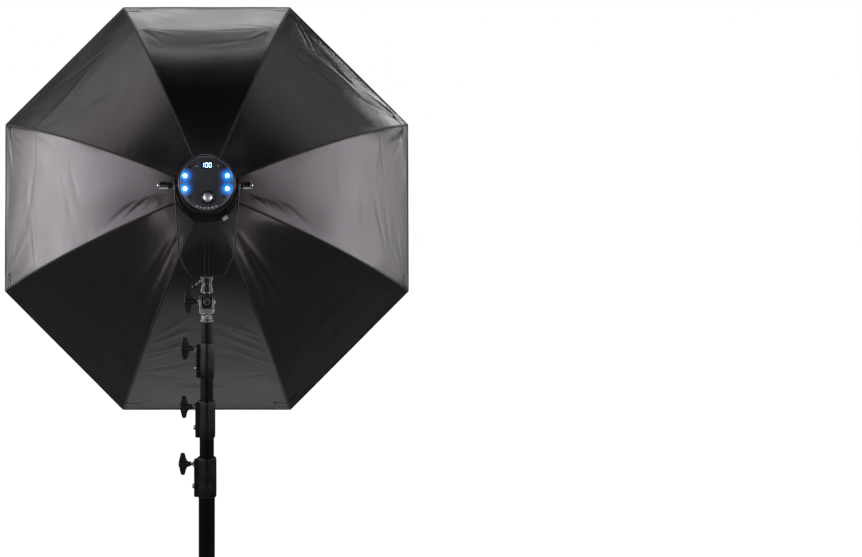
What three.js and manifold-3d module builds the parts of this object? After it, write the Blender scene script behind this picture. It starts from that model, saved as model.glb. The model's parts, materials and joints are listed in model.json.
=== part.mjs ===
// Octagonal studio softbox on a round strobe lamp, carried by a yoke, a stand bracket
// and a four-section light stand. Millimetres, +Z up. The lamp's rear panel faces -Y and
// the white front of the softbox faces +Y. The origin is on the floor, under the middle
// of the object's box.
import * as THREE from "three";
import { mergeVertices } from "three/addons/utils/BufferGeometryUtils.js";
import Module from "manifold-3d";

const wasm = await Module();
wasm.setup();

// ---------------------------------------------------------------- driving dimensions
const GAP = 0.3;                  // clearance between pieces that nearly touch
const HUB_HEIGHT = 1650;          // centre of the softbox's rear opening above the floor
const HEAD_TILT = THREE.MathUtils.degToRad(5);   // the front looks down by this much

const RIB_COUNT = 8;
const RIB_STEP = (2 * Math.PI) / RIB_COUNT;
const RIM_RADIUS = 609.6;         // axis to a rim corner: a 48 inch octagon
const BOX_DEPTH = 520;            // rear plane to rim
const HINGE_RADIUS = 70;          // axis to a rib's hinge
const SWELL = 2.2;                // power of the rib's curve: flat behind, steep in front
const CLOTH = 2;                  // thickness of the wall panels
const CLOTH_START = 83;           // radius where the cloth starts, at a rib, just outside the ring
const ROD_RADIUS = 3;
const ROD_INSET = CLOTH + 1.8 + ROD_RADIUS;
const DIFFUSER_DEPTH = 480;       // rear plane to the front cloth, 40 behind the rim
const DIFFUSER_RADIUS = 577;
const DIFFUSER_CLOTH = 1.5;

const HUB_AHEAD = 105;            // lamp tilt axis to the softbox's rear plane
const LAMP_RADIUS = 65;
const LAMP_REAR = -58;            // rear edge of the housing, from the tilt axis
const LAMP_FRONT = 88;
const YOKE_HALF_WIDTH = 71.7;
const YOKE_STRIP = 4.5;
const YOKE_DEPTH = 24;
const YOKE_DROP = 205;            // lamp tilt axis down to the yoke's flat bottom
const NECK_PIVOT_DROP = 266;      // lamp tilt axis down to the bracket's tilt axis
const RECEIVER_DROP = 313.5;      // lamp tilt axis down to the bottom of the receiver

const TUBE_WALL = 1.5;
const TUBE_RADII = [19, 16.75, 14.75, 12.5];
const TUBE_BOTTOMS = [75, 110, 150, 190];
const COLLAR_BOTTOMS = [939, 1078, 1217];
const COLLAR_HEIGHTS = [93, 86, 82];
const COLLAR_RADII = [22.7, 19.8, 17.4];
const EAR_REACH = 7;              // how far the clamp ear stands out of a collar
const SPIGOT_RADIUS = 8;

const LEG_AZIMUTHS = [90, 210, 330].map(THREE.MathUtils.degToRad);
const LEG_PIVOT = { r: 45, z: 420 };
const FOOT_REACH = 500;           // stand axis to where a foot meets the floor
const LEG_RADIUS = 9.5;
const BRACE_PIVOT = { r: 40, z: 100 };
const BRACE_ALONG_LEG = 300;      // leg pivot to the brace's joint on the leg
const BRACE_OFFSET = 10.3;        // the flat brace lies beside the leg
const BRACE_THICKNESS = 3;

// ---------------------------------------------------------------- finishes
const finish = (color, roughness, metalness = 0) =>
  new THREE.MeshStandardMaterial({ color, roughness, metalness });
const BLACK_NYLON = finish(0x1b1a1d, 0.55);
const WHITE_CLOTH = finish(0xeceae4, 0.85);
const ROD_STEEL = finish(0x3a3a3c, 0.4, 0.8);
const BLACK_TUBE = finish(0x232325, 0.35, 0.6);
const BLACK_PLASTIC = finish(0x1a1a1b, 0.6);
const GUNMETAL = finish(0x58595d, 0.4, 0.8);
const CHROME = finish(0xc8c8cc, 0.15, 1);
const RUBBER = finish(0x141414, 0.9);
const PANEL_GLOSS = finish(0x0d0e10, 0.2);
const SCREEN_GLASS = finish(0x9fd8ff, 0.1);
const FROSTED_GLASS = finish(0xe8eef0, 0.3);

// ---------------------------------------------------------------- solids
// Shared corners merged, zero-size faces dropped, faces turned outward.
function closed(geometry) {
  const bare = geometry.clone();
  for (const name of Object.keys(bare.attributes)) {
    if (name !== "position") bare.deleteAttribute(name);
  }
  const merged = mergeVertices(bare, 1e-3);
  const corners = merged.attributes.position;
  const faces = [];
  let volume = 0;
  const [a, b, c] = [new THREE.Vector3(), new THREE.Vector3(), new THREE.Vector3()];
  for (let i = 0; i < merged.index.count; i += 3) {
    const [ia, ib, ic] = [0, 1, 2].map((k) => merged.index.getX(i + k));
    if (ia === ib || ib === ic || ic === ia) continue;
    faces.push(ia, ib, ic);
    a.fromBufferAttribute(corners, ia);
    b.fromBufferAttribute(corners, ib);
    c.fromBufferAttribute(corners, ic);
    volume += a.dot(b.cross(c));
  }
  merged.setIndex(volume < 0 ? faces.reverse() : faces);
  return merged;
}

function toSolid(geometry) {
  const bare = closed(geometry);
  return new wasm.Manifold(new wasm.Mesh({
    numProp: 3,
    vertProperties: new Float32Array(bare.attributes.position.array),
    triVerts: new Uint32Array(bare.index.array),
  }));
}

function toGeometry(solid) {
  const mesh = solid.getMesh();
  const geometry = new THREE.BufferGeometry();
  geometry.setAttribute("position", new THREE.BufferAttribute(mesh.vertProperties, 3));
  geometry.setIndex(new THREE.BufferAttribute(mesh.triVerts, 1));
  return geometry;
}

// The first shape with the joins added, then the cuts taken away.
function build(base, joins = [], cuts = []) {
  let solid = toSolid(base);
  for (const piece of joins) solid = solid.add(toSolid(piece));
  for (const piece of cuts) solid = solid.subtract(toSolid(piece));
  return toGeometry(solid);
}

const box = (x0, x1, y0, y1, z0, z1) =>
  new THREE.BoxGeometry(x1 - x0, y1 - y0, z1 - z0)
    .translate((x0 + x1) / 2, (y0 + y1) / 2, (z0 + z1) / 2);

// A round bar between two distances along an axis through the origin.
function barX(radius, x0, x1, sides = 16) {
  return new THREE.CylinderGeometry(radius, radius, Math.abs(x1 - x0), sides)
    .rotateZ(-Math.PI / 2).translate((x0 + x1) / 2, 0, 0);
}
function barY(radius, y0, y1, sides = 16) {
  return new THREE.CylinderGeometry(radius, radius, y1 - y0, sides)
    .translate(0, (y0 + y1) / 2, 0);
}
function barZ(radius, z0, z1, sides = 16) {
  return new THREE.CylinderGeometry(radius, radius, z1 - z0, sides)
    .rotateX(Math.PI / 2).translate(0, 0, (z0 + z1) / 2);
}

// Turned shapes: the profile is [radius, distance] pairs, closed on itself or on the axis.
function turnedForward(profile, sides = 32) {
  return new THREE.LatheGeometry(profile.map(([r, w]) => new THREE.Vector2(r, w)), sides);
}
function turnedUp(profile, sides = 24) {
  return turnedForward(profile, sides).rotateX(Math.PI / 2);
}
const tubeProfile = (inner, outer, low, high) =>
  [[inner, low], [outer, low], [outer, high], [inner, high], [inner, low]];

const polygon = (points) => new THREE.Shape(points.map(([x, y]) => new THREE.Vector2(x, y)));

// A flat outline in X and Z, thick along Y, and one in Y and Z, thick along X.
function slabXZ(shape, y0, y1) {
  const turn = new THREE.Matrix4().makeBasis(
    new THREE.Vector3(1, 0, 0), new THREE.Vector3(0, 0, 1), new THREE.Vector3(0, -1, 0));
  return new THREE.ExtrudeGeometry(shape, { depth: y1 - y0, bevelEnabled: false, curveSegments: 8 })
    .applyMatrix4(turn).translate(0, y1, 0);
}
function slabYZ(shape, x0, x1) {
  const turn = new THREE.Matrix4().makeBasis(
    new THREE.Vector3(0, 1, 0), new THREE.Vector3(0, 0, 1), new THREE.Vector3(1, 0, 0));
  return new THREE.ExtrudeGeometry(shape, { depth: x1 - x0, bevelEnabled: false, curveSegments: 8 })
    .applyMatrix4(turn).translate(x0, 0, 0);
}

// ---------------------------------------------------------------- scene graph helpers
// Each moving body has a group whose origin lies on its joint's axis.
function body(parent, name, x = 0, y = 0, z = 0) {
  const group = new THREE.Group();
  group.name = name;
  group.position.set(x, y, z);
  parent.add(group);
  return group;
}

function place(group, name, geometry, material) {
  const mesh = new THREE.Mesh(closed(geometry), material);
  mesh.name = name;
  group.add(mesh);
  return mesh;
}

// ---------------------------------------------------------------- clamp knob
// T-shaped clamp knob on a threaded stud that points to -X. Its origin is on the face
// that the washer rests on.
function clampKnob() {
  const wing = polygon([
    [-15, -7], [-15, 7], [-18, 14], [-21, 25.5], [-32, 25.5], [-35, 8],
    [-35, -8], [-32, -25.5], [-21, -25.5], [-18, -14],
  ]);
  return build(barX(3.5, -GAP - 1, -16, 12), [
    barX(7, -GAP, -GAP - 2, 16),
    slabXZ(wing, -6, 6),
  ]);
}

// ---------------------------------------------------------------- stand column
const rig = new THREE.Group();
const standBase = body(rig, "stand_base");
const sections = [standBase];
const sectionTops = [...COLLAR_BOTTOMS.map((z, i) => z + COLLAR_HEIGHTS[i] / 2),
  HUB_HEIGHT + HUB_AHEAD * Math.sin(HEAD_TILT) - RECEIVER_DROP - GAP];

for (let i = 1; i < TUBE_RADII.length; i += 1) {
  sections.push(body(sections[i - 1], `section_${i + 1}`));
}

TUBE_RADII.forEach((radius, i) => {
  const bore = radius - TUBE_WALL;
  let tube = turnedUp(tubeProfile(bore, radius, TUBE_BOTTOMS[i], sectionTops[i]));
  if (i === TUBE_RADII.length - 1) {
    const top = sectionTops[i];
    tube = turnedUp([
      [bore, TUBE_BOTTOMS[i]], [radius, TUBE_BOTTOMS[i]], [radius, top],
      [SPIGOT_RADIUS, top], [SPIGOT_RADIUS, top + 22], [SPIGOT_RADIUS - 2, top + 24],
      [0, top + 24], [0, top - 12], [bore, top - 12], [bore, TUBE_BOTTOMS[i]],
    ]);
  }
  place(sections[i], i === 0 ? "base_tube" : `section_tube_${i + 1}`, tube, BLACK_TUBE);
});

COLLAR_BOTTOMS.forEach((low, i) => {
  const high = low + COLLAR_HEIGHTS[i];
  const radius = COLLAR_RADII[i];
  const reach = radius + EAR_REACH;
  const barrel = turnedUp([
    [0, low], [radius, low], [radius, high - 3], [radius - 1.5, high], [0, high],
  ]);
  const collar = build(barrel, [box(-reach, -radius / 2, -8.5, 8.5, low + 1, high - 4)], [
    barZ(TUBE_RADII[i] + GAP, low - 1, sectionTops[i] + GAP, 24),
    barZ(TUBE_RADII[i + 1] + 0.5, low, high + 1, 24),
    box(-reach - 1, -TUBE_RADII[i + 1] + 1, -1.2, 1.2, sectionTops[i] + 2, high + 1),
  ]);
  place(sections[i], `collar_${i + 1}`, collar, BLACK_PLASTIC);
  const knobHeight = low + COLLAR_HEIGHTS[i] * 0.83;
  const knob = body(sections[i], `collar_knob_${i + 1}`, -reach, 0, knobHeight);
  place(knob, `collar_knob_${i + 1}`, clampKnob(), BLACK_PLASTIC);
});

// ---------------------------------------------------------------- tripod
const legDrop = new THREE.Vector2(FOOT_REACH - LEG_PIVOT.r, -LEG_PIVOT.z);
const legLength = legDrop.length();
const legSpread = Math.atan2(legDrop.x, -legDrop.y);
const FOOT_LENGTH = 34;
const FOOT_RADIUS = 12;
const braceEnd = new THREE.Vector2(LEG_PIVOT.r, LEG_PIVOT.z)
  .addScaledVector(legDrop, BRACE_ALONG_LEG / legLength);
const braceRun = braceEnd.clone().sub(new THREE.Vector2(BRACE_PIVOT.r, BRACE_PIVOT.z));
const braceRise = Math.atan2(braceRun.y, braceRun.x);

// A ring on the base tube with lugs that point at each leg.
function lugRing(radius, low, high, lugs) {
  const turnedLugs = LEG_AZIMUTHS.flatMap((azimuth) =>
    lugs.map((lug) => lug.clone().rotateZ(azimuth)));
  return build(barZ(radius, low, high, 24), turnedLugs,
    [barZ(TUBE_RADII[0] + GAP, low - 1, high + 1, 24)]);
}

const legSlider = body(standBase, "leg_slider", 0, 0, LEG_PIVOT.z);
const cheek = (side) => box(21, 54, side * 12.4 - 2, side * 12.4 + 2, -12, 12);
place(legSlider, "leg_collar", lugRing(27, -24, 30, [cheek(1), cheek(-1)]), BLACK_PLASTIC);
const legKnob = body(legSlider, "leg_collar_knob", 0, -27, 21);
legKnob.rotation.z = Math.PI / 2;
place(legKnob, "leg_collar_knob", clampKnob(), BLACK_PLASTIC);

const braceLug = box(21, 49, BRACE_OFFSET + BRACE_THICKNESS + GAP,
  BRACE_OFFSET + BRACE_THICKNESS + GAP + 4, -9, 9).translate(0, 0, BRACE_PIVOT.z);
place(standBase, "brace_hub", lugRing(28, 80, 122, [braceLug]), BLACK_PLASTIC);

function legTube() {
  const end = -(legLength - FOOT_LENGTH);
  return turnedUp(tubeProfile(LEG_RADIUS - TUBE_WALL, LEG_RADIUS, end, 9), 16)
    .rotateY(-legSpread);
}

// The rubber foot is cut flat where it stands on the floor.
function legFoot() {
  const start = -(legLength - FOOT_LENGTH) - GAP;
  const plug = turnedUp([
    [0, start], [FOOT_RADIUS - 2, start], [FOOT_RADIUS, start - 3],
    [FOOT_RADIUS, -legLength - 30], [0, -legLength - 30],
  ], 20).rotateY(-legSpread);
  const above = box(0, 1000, -100, 100, -LEG_PIVOT.z, 100);
  return toGeometry(toSolid(plug).intersect(toSolid(above)));
}

function braceBar() {
  const half = 7;
  const outline = new THREE.Shape();
  outline.absarc(braceRun.length(), 0, half, -Math.PI / 2, Math.PI / 2);
  outline.absarc(0, 0, half, Math.PI / 2, (3 * Math.PI) / 2);
  return slabXZ(outline, BRACE_OFFSET, BRACE_OFFSET + BRACE_THICKNESS).rotateY(-braceRise);
}

LEG_AZIMUTHS.forEach((azimuth, i) => {
  const onSlider = body(legSlider, `leg_${i + 1}_side`);
  onSlider.rotation.z = azimuth;
  const leg = body(onSlider, `leg_${i + 1}`, LEG_PIVOT.r, 0, 0);
  place(leg, `leg_${i + 1}`, legTube(), BLACK_TUBE);
  place(leg, `foot_${i + 1}`, legFoot(), RUBBER);
  const onBase = body(standBase, `brace_${i + 1}_side`);
  onBase.rotation.z = azimuth;
  const brace = body(onBase, `brace_${i + 1}`, BRACE_PIVOT.r, 0, BRACE_PIVOT.z);
  place(brace, `brace_${i + 1}`, braceBar(), BLACK_TUBE);
});

// ---------------------------------------------------------------- bracket and yoke
const lampAxisHeight = HUB_HEIGHT + HUB_AHEAD * Math.sin(HEAD_TILT);
const receiverBody = body(sections[3], "receiver", 0, 0, lampAxisHeight - RECEIVER_DROP);
const pivotAboveReceiver = RECEIVER_DROP - NECK_PIVOT_DROP;

// Socket below, and two round cheeks above that hold the tilting neck.
function receiverCasting() {
  const side = new THREE.Shape();
  side.moveTo(-16, pivotAboveReceiver - 25);
  side.lineTo(16, pivotAboveReceiver - 25);
  side.absarc(0, pivotAboveReceiver, 16, 0, Math.PI);
  return build(slabYZ(side, -17, 17), [barZ(15.5, 0, pivotAboveReceiver - 20, 24)], [
    box(-7, 7, -20, 20, pivotAboveReceiver - 15, pivotAboveReceiver + 20),
    barZ(SPIGOT_RADIUS + GAP, -1, 26, 20),
  ]);
}
place(receiverBody, "receiver", receiverCasting(), GUNMETAL);
const tiltKnob = body(receiverBody, "tilt_knob", -17, 0, pivotAboveReceiver);
place(tiltKnob, "tilt_knob", clampKnob(), BLACK_PLASTIC);

const yokeBody = body(receiverBody, "yoke", 0, 0, pivotAboveReceiver);
const yokeAbovePivot = NECK_PIVOT_DROP - YOKE_DROP;
const UMBRELLA_HOLE_HEIGHT = 38;

// Waisted casting: a lug between the receiver's cheeks, a hole for an umbrella shaft
// at the waist, and a flat top that carries the yoke.
function neckCasting() {
  const top = yokeAbovePivot - YOKE_STRIP / 2 - GAP;
  const front = new THREE.Shape();
  front.moveTo(-15, 20.5);
  front.lineTo(15, 20.5);
  front.quadraticCurveTo(15, 27, 11.5, UMBRELLA_HOLE_HEIGHT);
  front.quadraticCurveTo(15, 50, 15, top);
  front.lineTo(-15, top);
  front.quadraticCurveTo(-15, 50, -11.5, UMBRELLA_HOLE_HEIGHT);
  front.quadraticCurveTo(-15, 27, -15, 20.5);
  const lug = new THREE.Shape();
  lug.moveTo(-12, 24);
  lug.absarc(0, 0, 13, Math.PI, 2 * Math.PI);
  lug.lineTo(12, 24);
  return build(slabXZ(front, -13, 13), [slabYZ(lug, -6.5, 6.5)],
    [barY(4.5, -20, 20, 16).translate(0, 0, UMBRELLA_HOLE_HEIGHT)]);
}
place(yokeBody, "neck", neckCasting(), GUNMETAL);

// Both sides of a bent strip, from its centre line.
function stripOutline(line, thickness) {
  const sides = [[], []];
  line.forEach((point, i) => {
    const before = line[Math.max(i - 1, 0)];
    const after = line[Math.min(i + 1, line.length - 1)];
    const into = new THREE.Vector2().subVectors(point, before).normalize();
    const out = new THREE.Vector2().subVectors(after, point).normalize();
    if (i === 0) into.copy(out);
    if (i === line.length - 1) out.copy(into);
    const along = into.clone().add(out).normalize();
    const across = new THREE.Vector2(-along.y, along.x);
    const half = thickness / 2 / Math.max(along.dot(into), 0.5);
    sides[0].push(point.clone().addScaledVector(across, half));
    sides[1].unshift(point.clone().addScaledVector(across, -half));
  });
  return new THREE.Shape([...sides[0], ...sides[1]]);
}

const yokeHalf = [
  [YOKE_HALF_WIDTH, 16], [YOKE_HALF_WIDTH, -20], [64, -150], [58, -170], [46, -196], [38, -YOKE_DROP],
];
const yokeLine = [...yokeHalf, ...yokeHalf.toReversed().map(([x, z]) => [-x, z])]
  .map(([x, z]) => new THREE.Vector2(x, z + NECK_PIVOT_DROP));
place(yokeBody, "yoke", slabXZ(stripOutline(yokeLine, YOKE_STRIP), -YOKE_DEPTH / 2, YOKE_DEPTH / 2),
  GUNMETAL);

// Thin thumb screw that grips an umbrella shaft, sloping down to the left.
const screwBody = body(yokeBody, "umbrella_screw", -15, 0, 48);
screwBody.rotation.y = -THREE.MathUtils.degToRad(45);
const umbrellaScrew = build(barX(2, 0, -18, 10), [
  box(-24, -15, -1.5, 1.5, -3.5, 3.5),
  barX(3.2, -5, -8, 10),
]);
place(screwBody, "umbrella_screw", umbrellaScrew, CHROME);

// ---------------------------------------------------------------- lamp
const lamp = body(yokeBody, "lamp", 0, 0, NECK_PIVOT_DROP);
lamp.rotation.x = -HEAD_TILT;

const yokeOuterFace = YOKE_HALF_WIDTH + YOKE_STRIP / 2;
// Side knob: a neck through the yoke arm's washer and a round grip.
function sideKnob(side, neckEnd, gripEnd) {
  const start = side * (yokeOuterFace + GAP);
  return build(barX(4.5, start, side * (neckEnd + 1), 16), [
    barX(8, start, start + side * 2.5, 20),
    barX(9, side * neckEnd, side * gripEnd, 20),
  ]);
}
const leftKnob = body(yokeBody, "side_knob_left", 0, 0, NECK_PIVOT_DROP);
place(leftKnob, "side_knob_left", sideKnob(-1, 88, 113), CHROME);
const rightKnob = body(yokeBody, "side_knob_right", 0, 0, NECK_PIVOT_DROP);
place(rightKnob, "side_knob_right", sideKnob(1, 82, 105), CHROME);

// Round shell, open behind for the rear panel and in front for the flash head.
const shellProfile = [
  [40, LAMP_FRONT], [60, LAMP_FRONT], [LAMP_RADIUS, LAMP_FRONT - 8], [LAMP_RADIUS, LAMP_REAR + 3],
  [LAMP_RADIUS - 2, LAMP_REAR], [LAMP_RADIUS - 3, LAMP_REAR], [LAMP_RADIUS - 3, LAMP_FRONT - 10],
  [58, LAMP_FRONT - 4], [40, LAMP_FRONT - 4], [40, LAMP_FRONT],
];
const sideBoss = (side) =>
  barX(12, side * 60, side * (YOKE_HALF_WIDTH - YOKE_STRIP / 2 - GAP), 20);
place(lamp, "lamp_housing", build(turnedForward(shellProfile, 32), [sideBoss(1), sideBoss(-1)]),
  BLACK_PLASTIC);

const PANEL_REAR = LAMP_REAR + 1;
const DIAL_CENTRE = { x: 2, z: -33 };
const SCREEN = { x: 0, z: 40, width: 27, height: 16 };
const BUTTONS = { left: { x: -23, z: 38 }, right: { x: 25, z: 38 } };
const BUTTON_RADIUS = 3;
const at = (geometry, { x, z }, y = 0) => geometry.clone().translate(x, y, z);

const screenPlate = (grow, deep) => box(
  SCREEN.x - SCREEN.width / 2 - grow, SCREEN.x + SCREEN.width / 2 + grow,
  PANEL_REAR, PANEL_REAR + deep,
  SCREEN.z - SCREEN.height / 2 - grow, SCREEN.z + SCREEN.height / 2 + grow);
const rearPanel = build(barY(LAMP_RADIUS - 3 - GAP, PANEL_REAR, PANEL_REAR + 5, 32), [], [
  screenPlate(GAP, 2).translate(0, -0.5, 0),
  at(barY(4.3, PANEL_REAR - 1, PANEL_REAR + 6, 16), DIAL_CENTRE),
  ...Object.values(BUTTONS).map((spot) =>
    at(barY(BUTTON_RADIUS + GAP, PANEL_REAR - 1, PANEL_REAR + 6, 16), spot)),
]);
place(lamp, "rear_panel", rearPanel, PANEL_GLOSS);
place(lamp, "display_window", screenPlate(0, 1), SCREEN_GLASS);

const dialBody = body(lamp, "dial", DIAL_CENTRE.x, PANEL_REAR, DIAL_CENTRE.z);
place(dialBody, "dial", turnedForward([
  [0, -11], [9, -11], [10.5, -9.5], [14, -9.5], [15.3, -8], [15.3, -GAP], [4, -GAP], [4, 8], [0, 8],
], 32), CHROME);
for (const [side, spot] of Object.entries(BUTTONS)) {
  const button = body(lamp, `button_${side}`, spot.x, PANEL_REAR, spot.z);
  place(button, `button_${side}`, barY(BUTTON_RADIUS, -1.5, 8, 16), BLACK_PLASTIC);
}

place(lamp, "insert_ring", turnedForward([
  [48, LAMP_FRONT + GAP], [60, LAMP_FRONT + GAP], [60, HUB_AHEAD + 4], [48, HUB_AHEAD + 4],
  [48, LAMP_FRONT + GAP],
], 40), GUNMETAL);
place(lamp, "glass_dome", turnedForward([
  [0, LAMP_FRONT - 10], [36, LAMP_FRONT - 10], [36, LAMP_FRONT + 30], [33, LAMP_FRONT + 44],
  [26, LAMP_FRONT + 55], [14, LAMP_FRONT + 62], [0, LAMP_FRONT + 64],
], 28), FROSTED_GLASS);

// ---------------------------------------------------------------- softbox
const softbox = body(lamp, "softbox", 0, HUB_AHEAD, 0);
const HINGE_AHEAD = ROD_INSET;
const BARREL_RADIUS = 4;
const BARREL_WIDTH = 8;

function hubRing() {
  const ring = turnedForward([
    [60 + GAP, -13], [73.5, -13], [75, -11], [75, 2], [77, 4], [77, HINGE_AHEAD + 4],
    [60 + GAP, HINGE_AHEAD + 4], [60 + GAP, -13],
  ], 40);
  const slots = Array.from({ length: RIB_COUNT }, (_, i) =>
    box(58, 80, HINGE_AHEAD - BARREL_RADIUS - GAP, HINGE_AHEAD + 10,
      -BARREL_WIDTH / 2 - GAP, BARREL_WIDTH / 2 + GAP).rotateY(-(i + 0.5) * RIB_STEP));
  return build(ring, [], slots);
}
place(softbox, "hub_ring", hubRing(), BLACK_PLASTIC);

// Square spring latch on the ring's edge that frees the softbox from the lamp.
const LATCH_AZIMUTH = THREE.MathUtils.degToRad(-57);
const latchSide = body(softbox, "release_tab_side");
latchSide.rotation.y = -LATCH_AZIMUTH;
const latch = body(latchSide, "release_tab", 75, -6, 0);
place(latch, "release_tab", box(GAP + 0.2, 9, -4, 4, -7, 7), CHROME);

// Distance of the cloth ahead of the rear plane, at a rib, for a distance off the axis.
const swellDepth = (radius) =>
  BOX_DEPTH * ((radius - HINGE_RADIUS) / (RIM_RADIUS - HINGE_RADIUS)) ** SWELL;

// The cloth's outer line at a rib, moved inward by a distance square to the line. With
// RIM_SHARE 0 its points are spread evenly off the axis, and with 1 they crowd to the rim.
const RIM_SHARE = 0.35;
function ribLine(inset, start, end, steps) {
  return Array.from({ length: steps + 1 }, (_, i) => {
    const share = i / steps;
    const spread = Math.sqrt(share * (RIM_SHARE + (1 - RIM_SHARE) * share));
    const radius = start + (end - start) * spread;
    const slope = (swellDepth(radius + 0.5) - swellDepth(radius - 0.5));
    const length = Math.hypot(1, slope);
    return [radius - (inset * slope) / length, swellDepth(radius) + inset / length];
  });
}

// Eight-sided shell of cloth, cut to the wedge between two mid-panel planes.
function wallPanel() {
  const outer = ribLine(0, CLOTH_START, RIM_RADIUS, 13);
  const inner = ribLine(CLOTH, CLOTH_START, RIM_RADIUS, 13).reverse();
  const shell = turnedForward([...outer, ...inner, outer[0]], RIB_COUNT);
  const reach = RIM_RADIUS * 1.2;
  const spread = reach * Math.tan(RIB_STEP / 2) - GAP;
  const wedge = slabXZ(polygon([[GAP * 3, 0], [reach, -spread], [reach, spread]]),
    -20, BOX_DEPTH + 20);
  return toGeometry(toSolid(shell).intersect(toSolid(wedge)))
    .translate(-HINGE_RADIUS, -HINGE_AHEAD, 0);
}

// Spring rod that follows the cloth, with a hinge barrel at its root.
function ribRod() {
  const line = ribLine(ROD_INSET, HINGE_RADIUS + 4, RIM_RADIUS - 5, 14)
    .map(([r, w]) => new THREE.Vector3(r - HINGE_RADIUS, w - HINGE_AHEAD, 0));
  line.unshift(new THREE.Vector3(0, 0, 0));
  const section = new THREE.Shape(new THREE.EllipseCurve(0, 0, ROD_RADIUS, ROD_RADIUS).getPoints(6));
  const rod = new THREE.ExtrudeGeometry(section, {
    steps: 15, bevelEnabled: false, extrudePath: new THREE.CatmullRomCurve3(line),
  });
  return build(rod, [barZ(BARREL_RADIUS, -BARREL_WIDTH / 2, BARREL_WIDTH / 2, 16)]);
}

// A quarter of the white front: four sewn corners, centred on every second rib.
function diffuserQuarter() {
  const corner = (angle, radius) => [radius * Math.cos(angle), radius * Math.sin(angle)];
  const outline = polygon([
    [GAP * 2, 0], corner(-RIB_STEP + 0.0006, DIFFUSER_RADIUS), corner(0, DIFFUSER_RADIUS),
    corner(RIB_STEP - 0.0006, DIFFUSER_RADIUS),
  ]);
  return slabXZ(outline, DIFFUSER_DEPTH, DIFFUSER_DEPTH + DIFFUSER_CLOTH)
    .translate(-DIFFUSER_RADIUS, -DIFFUSER_DEPTH, 0);
}

const ribs = Array.from({ length: RIB_COUNT }, (_, i) => {
  const side = body(softbox, `rib_${i + 1}_side`);
  side.rotation.y = -(i + 0.5) * RIB_STEP;
  const rib = body(side, `rib_${i + 1}`, HINGE_RADIUS, HINGE_AHEAD, 0);
  place(rib, `rib_${i + 1}`, ribRod(), ROD_STEEL);
  place(rib, `wall_panel_${i + 1}`, wallPanel(), BLACK_NYLON);
  if (i % 2 === 0) {
    const quarter = body(rib, `diffuser_${i / 2 + 1}`, DIFFUSER_RADIUS - HINGE_RADIUS,
      DIFFUSER_DEPTH - HINGE_AHEAD, 0);
    place(quarter, `diffuser_${i / 2 + 1}`, diffuserQuarter(), WHITE_CLOTH);
  }
  return rib;
});

// Zip slider on the middle of the bottom panel, where two wall panels meet. It sits
// just outside the cloth and slides away from the hub.
const ZIP_START = 135;
const ZIP_END = 200;
const midShare = Math.cos(RIB_STEP / 2);
const zipSide = body(ribs[5], "zip_side", -HINGE_RADIUS, -HINGE_AHEAD, 0);
zipSide.rotation.y = -RIB_STEP / 2;
const zipSlope = Math.atan2(swellDepth(ZIP_END) - swellDepth(ZIP_START),
  (ZIP_END - ZIP_START) * midShare);
const zip = body(zipSide, "zip_slider", ZIP_START * midShare, swellDepth(ZIP_START) - 1.2, 0);
zip.rotation.z = zipSlope;
place(zip, "zip_slider", build(box(-6, 6, -2.6, 0, -4, 4), [box(-2, 30, -3.6, -2, -2, 2)]), CHROME);

// ---------------------------------------------------------------- stands on its box's centre
const whole = new THREE.Group();
whole.add(rig);
const extent = new THREE.Box3().setFromObject(rig, true);
rig.position.y = -(extent.min.y + extent.max.y) / 2;

export default whole;
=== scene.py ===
"""Octagonal studio softbox on its strobe lamp, yoke and light stand: the looks, around the frame."""
import json
import math
import random

import bmesh
import bpy
import numpy as np
from mathutils import Matrix, Vector


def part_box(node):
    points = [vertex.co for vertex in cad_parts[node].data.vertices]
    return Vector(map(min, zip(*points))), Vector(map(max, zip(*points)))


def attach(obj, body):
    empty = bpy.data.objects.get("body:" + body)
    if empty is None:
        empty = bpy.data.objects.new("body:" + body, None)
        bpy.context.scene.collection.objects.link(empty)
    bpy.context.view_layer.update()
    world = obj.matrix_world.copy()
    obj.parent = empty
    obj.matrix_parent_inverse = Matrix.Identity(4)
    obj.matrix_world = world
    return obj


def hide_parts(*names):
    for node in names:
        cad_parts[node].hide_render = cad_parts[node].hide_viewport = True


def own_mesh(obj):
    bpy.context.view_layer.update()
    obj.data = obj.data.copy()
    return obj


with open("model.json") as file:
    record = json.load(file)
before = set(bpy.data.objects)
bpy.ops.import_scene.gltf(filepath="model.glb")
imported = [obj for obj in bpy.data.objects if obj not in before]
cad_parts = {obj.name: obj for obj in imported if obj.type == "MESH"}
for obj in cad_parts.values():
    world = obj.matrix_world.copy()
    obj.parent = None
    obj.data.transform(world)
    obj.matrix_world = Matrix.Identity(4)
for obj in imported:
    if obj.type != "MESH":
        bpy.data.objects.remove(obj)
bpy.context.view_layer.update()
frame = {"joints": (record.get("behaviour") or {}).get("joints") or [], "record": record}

RECORD = frame["record"]
JOINTS = {joint["name"]: joint for joint in frame["joints"]}
BODY_OF = {node: body for body, nodes in RECORD["behaviour"]["bodies"].items() for node in nodes}
MM = 0.001
TAU = 2 * math.pi


def joint_point(name):
    return Vector(JOINTS[name]["pos_m"])


def joint_axis(name):
    return Vector(JOINTS[name]["axis"]).normalized()


def basis(origin, x, y, z):
    """Matrix that takes local millimetres to metres in the row frame."""
    turn = Matrix((x, y, z)).transposed().to_4x4()
    return Matrix.Translation(origin) @ turn @ Matrix.Scale(MM, 4)


def shift(x, y, z):
    return Matrix.Translation((x, y, z))


def link(obj):
    bpy.context.scene.collection.objects.link(obj)


X, Y, Z = Vector((1, 0, 0)), Vector((0, 1, 0)), Vector((0, 0, 1))
STAND_Y = joint_point("receiver_pan").y
FORWARD = joint_axis("softbox_spin")
HEAD_UP = X.cross(FORWARD)
HUB = joint_point("softbox_spin")
LAMP_AXIS = joint_point("lamp_tilt")

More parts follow.
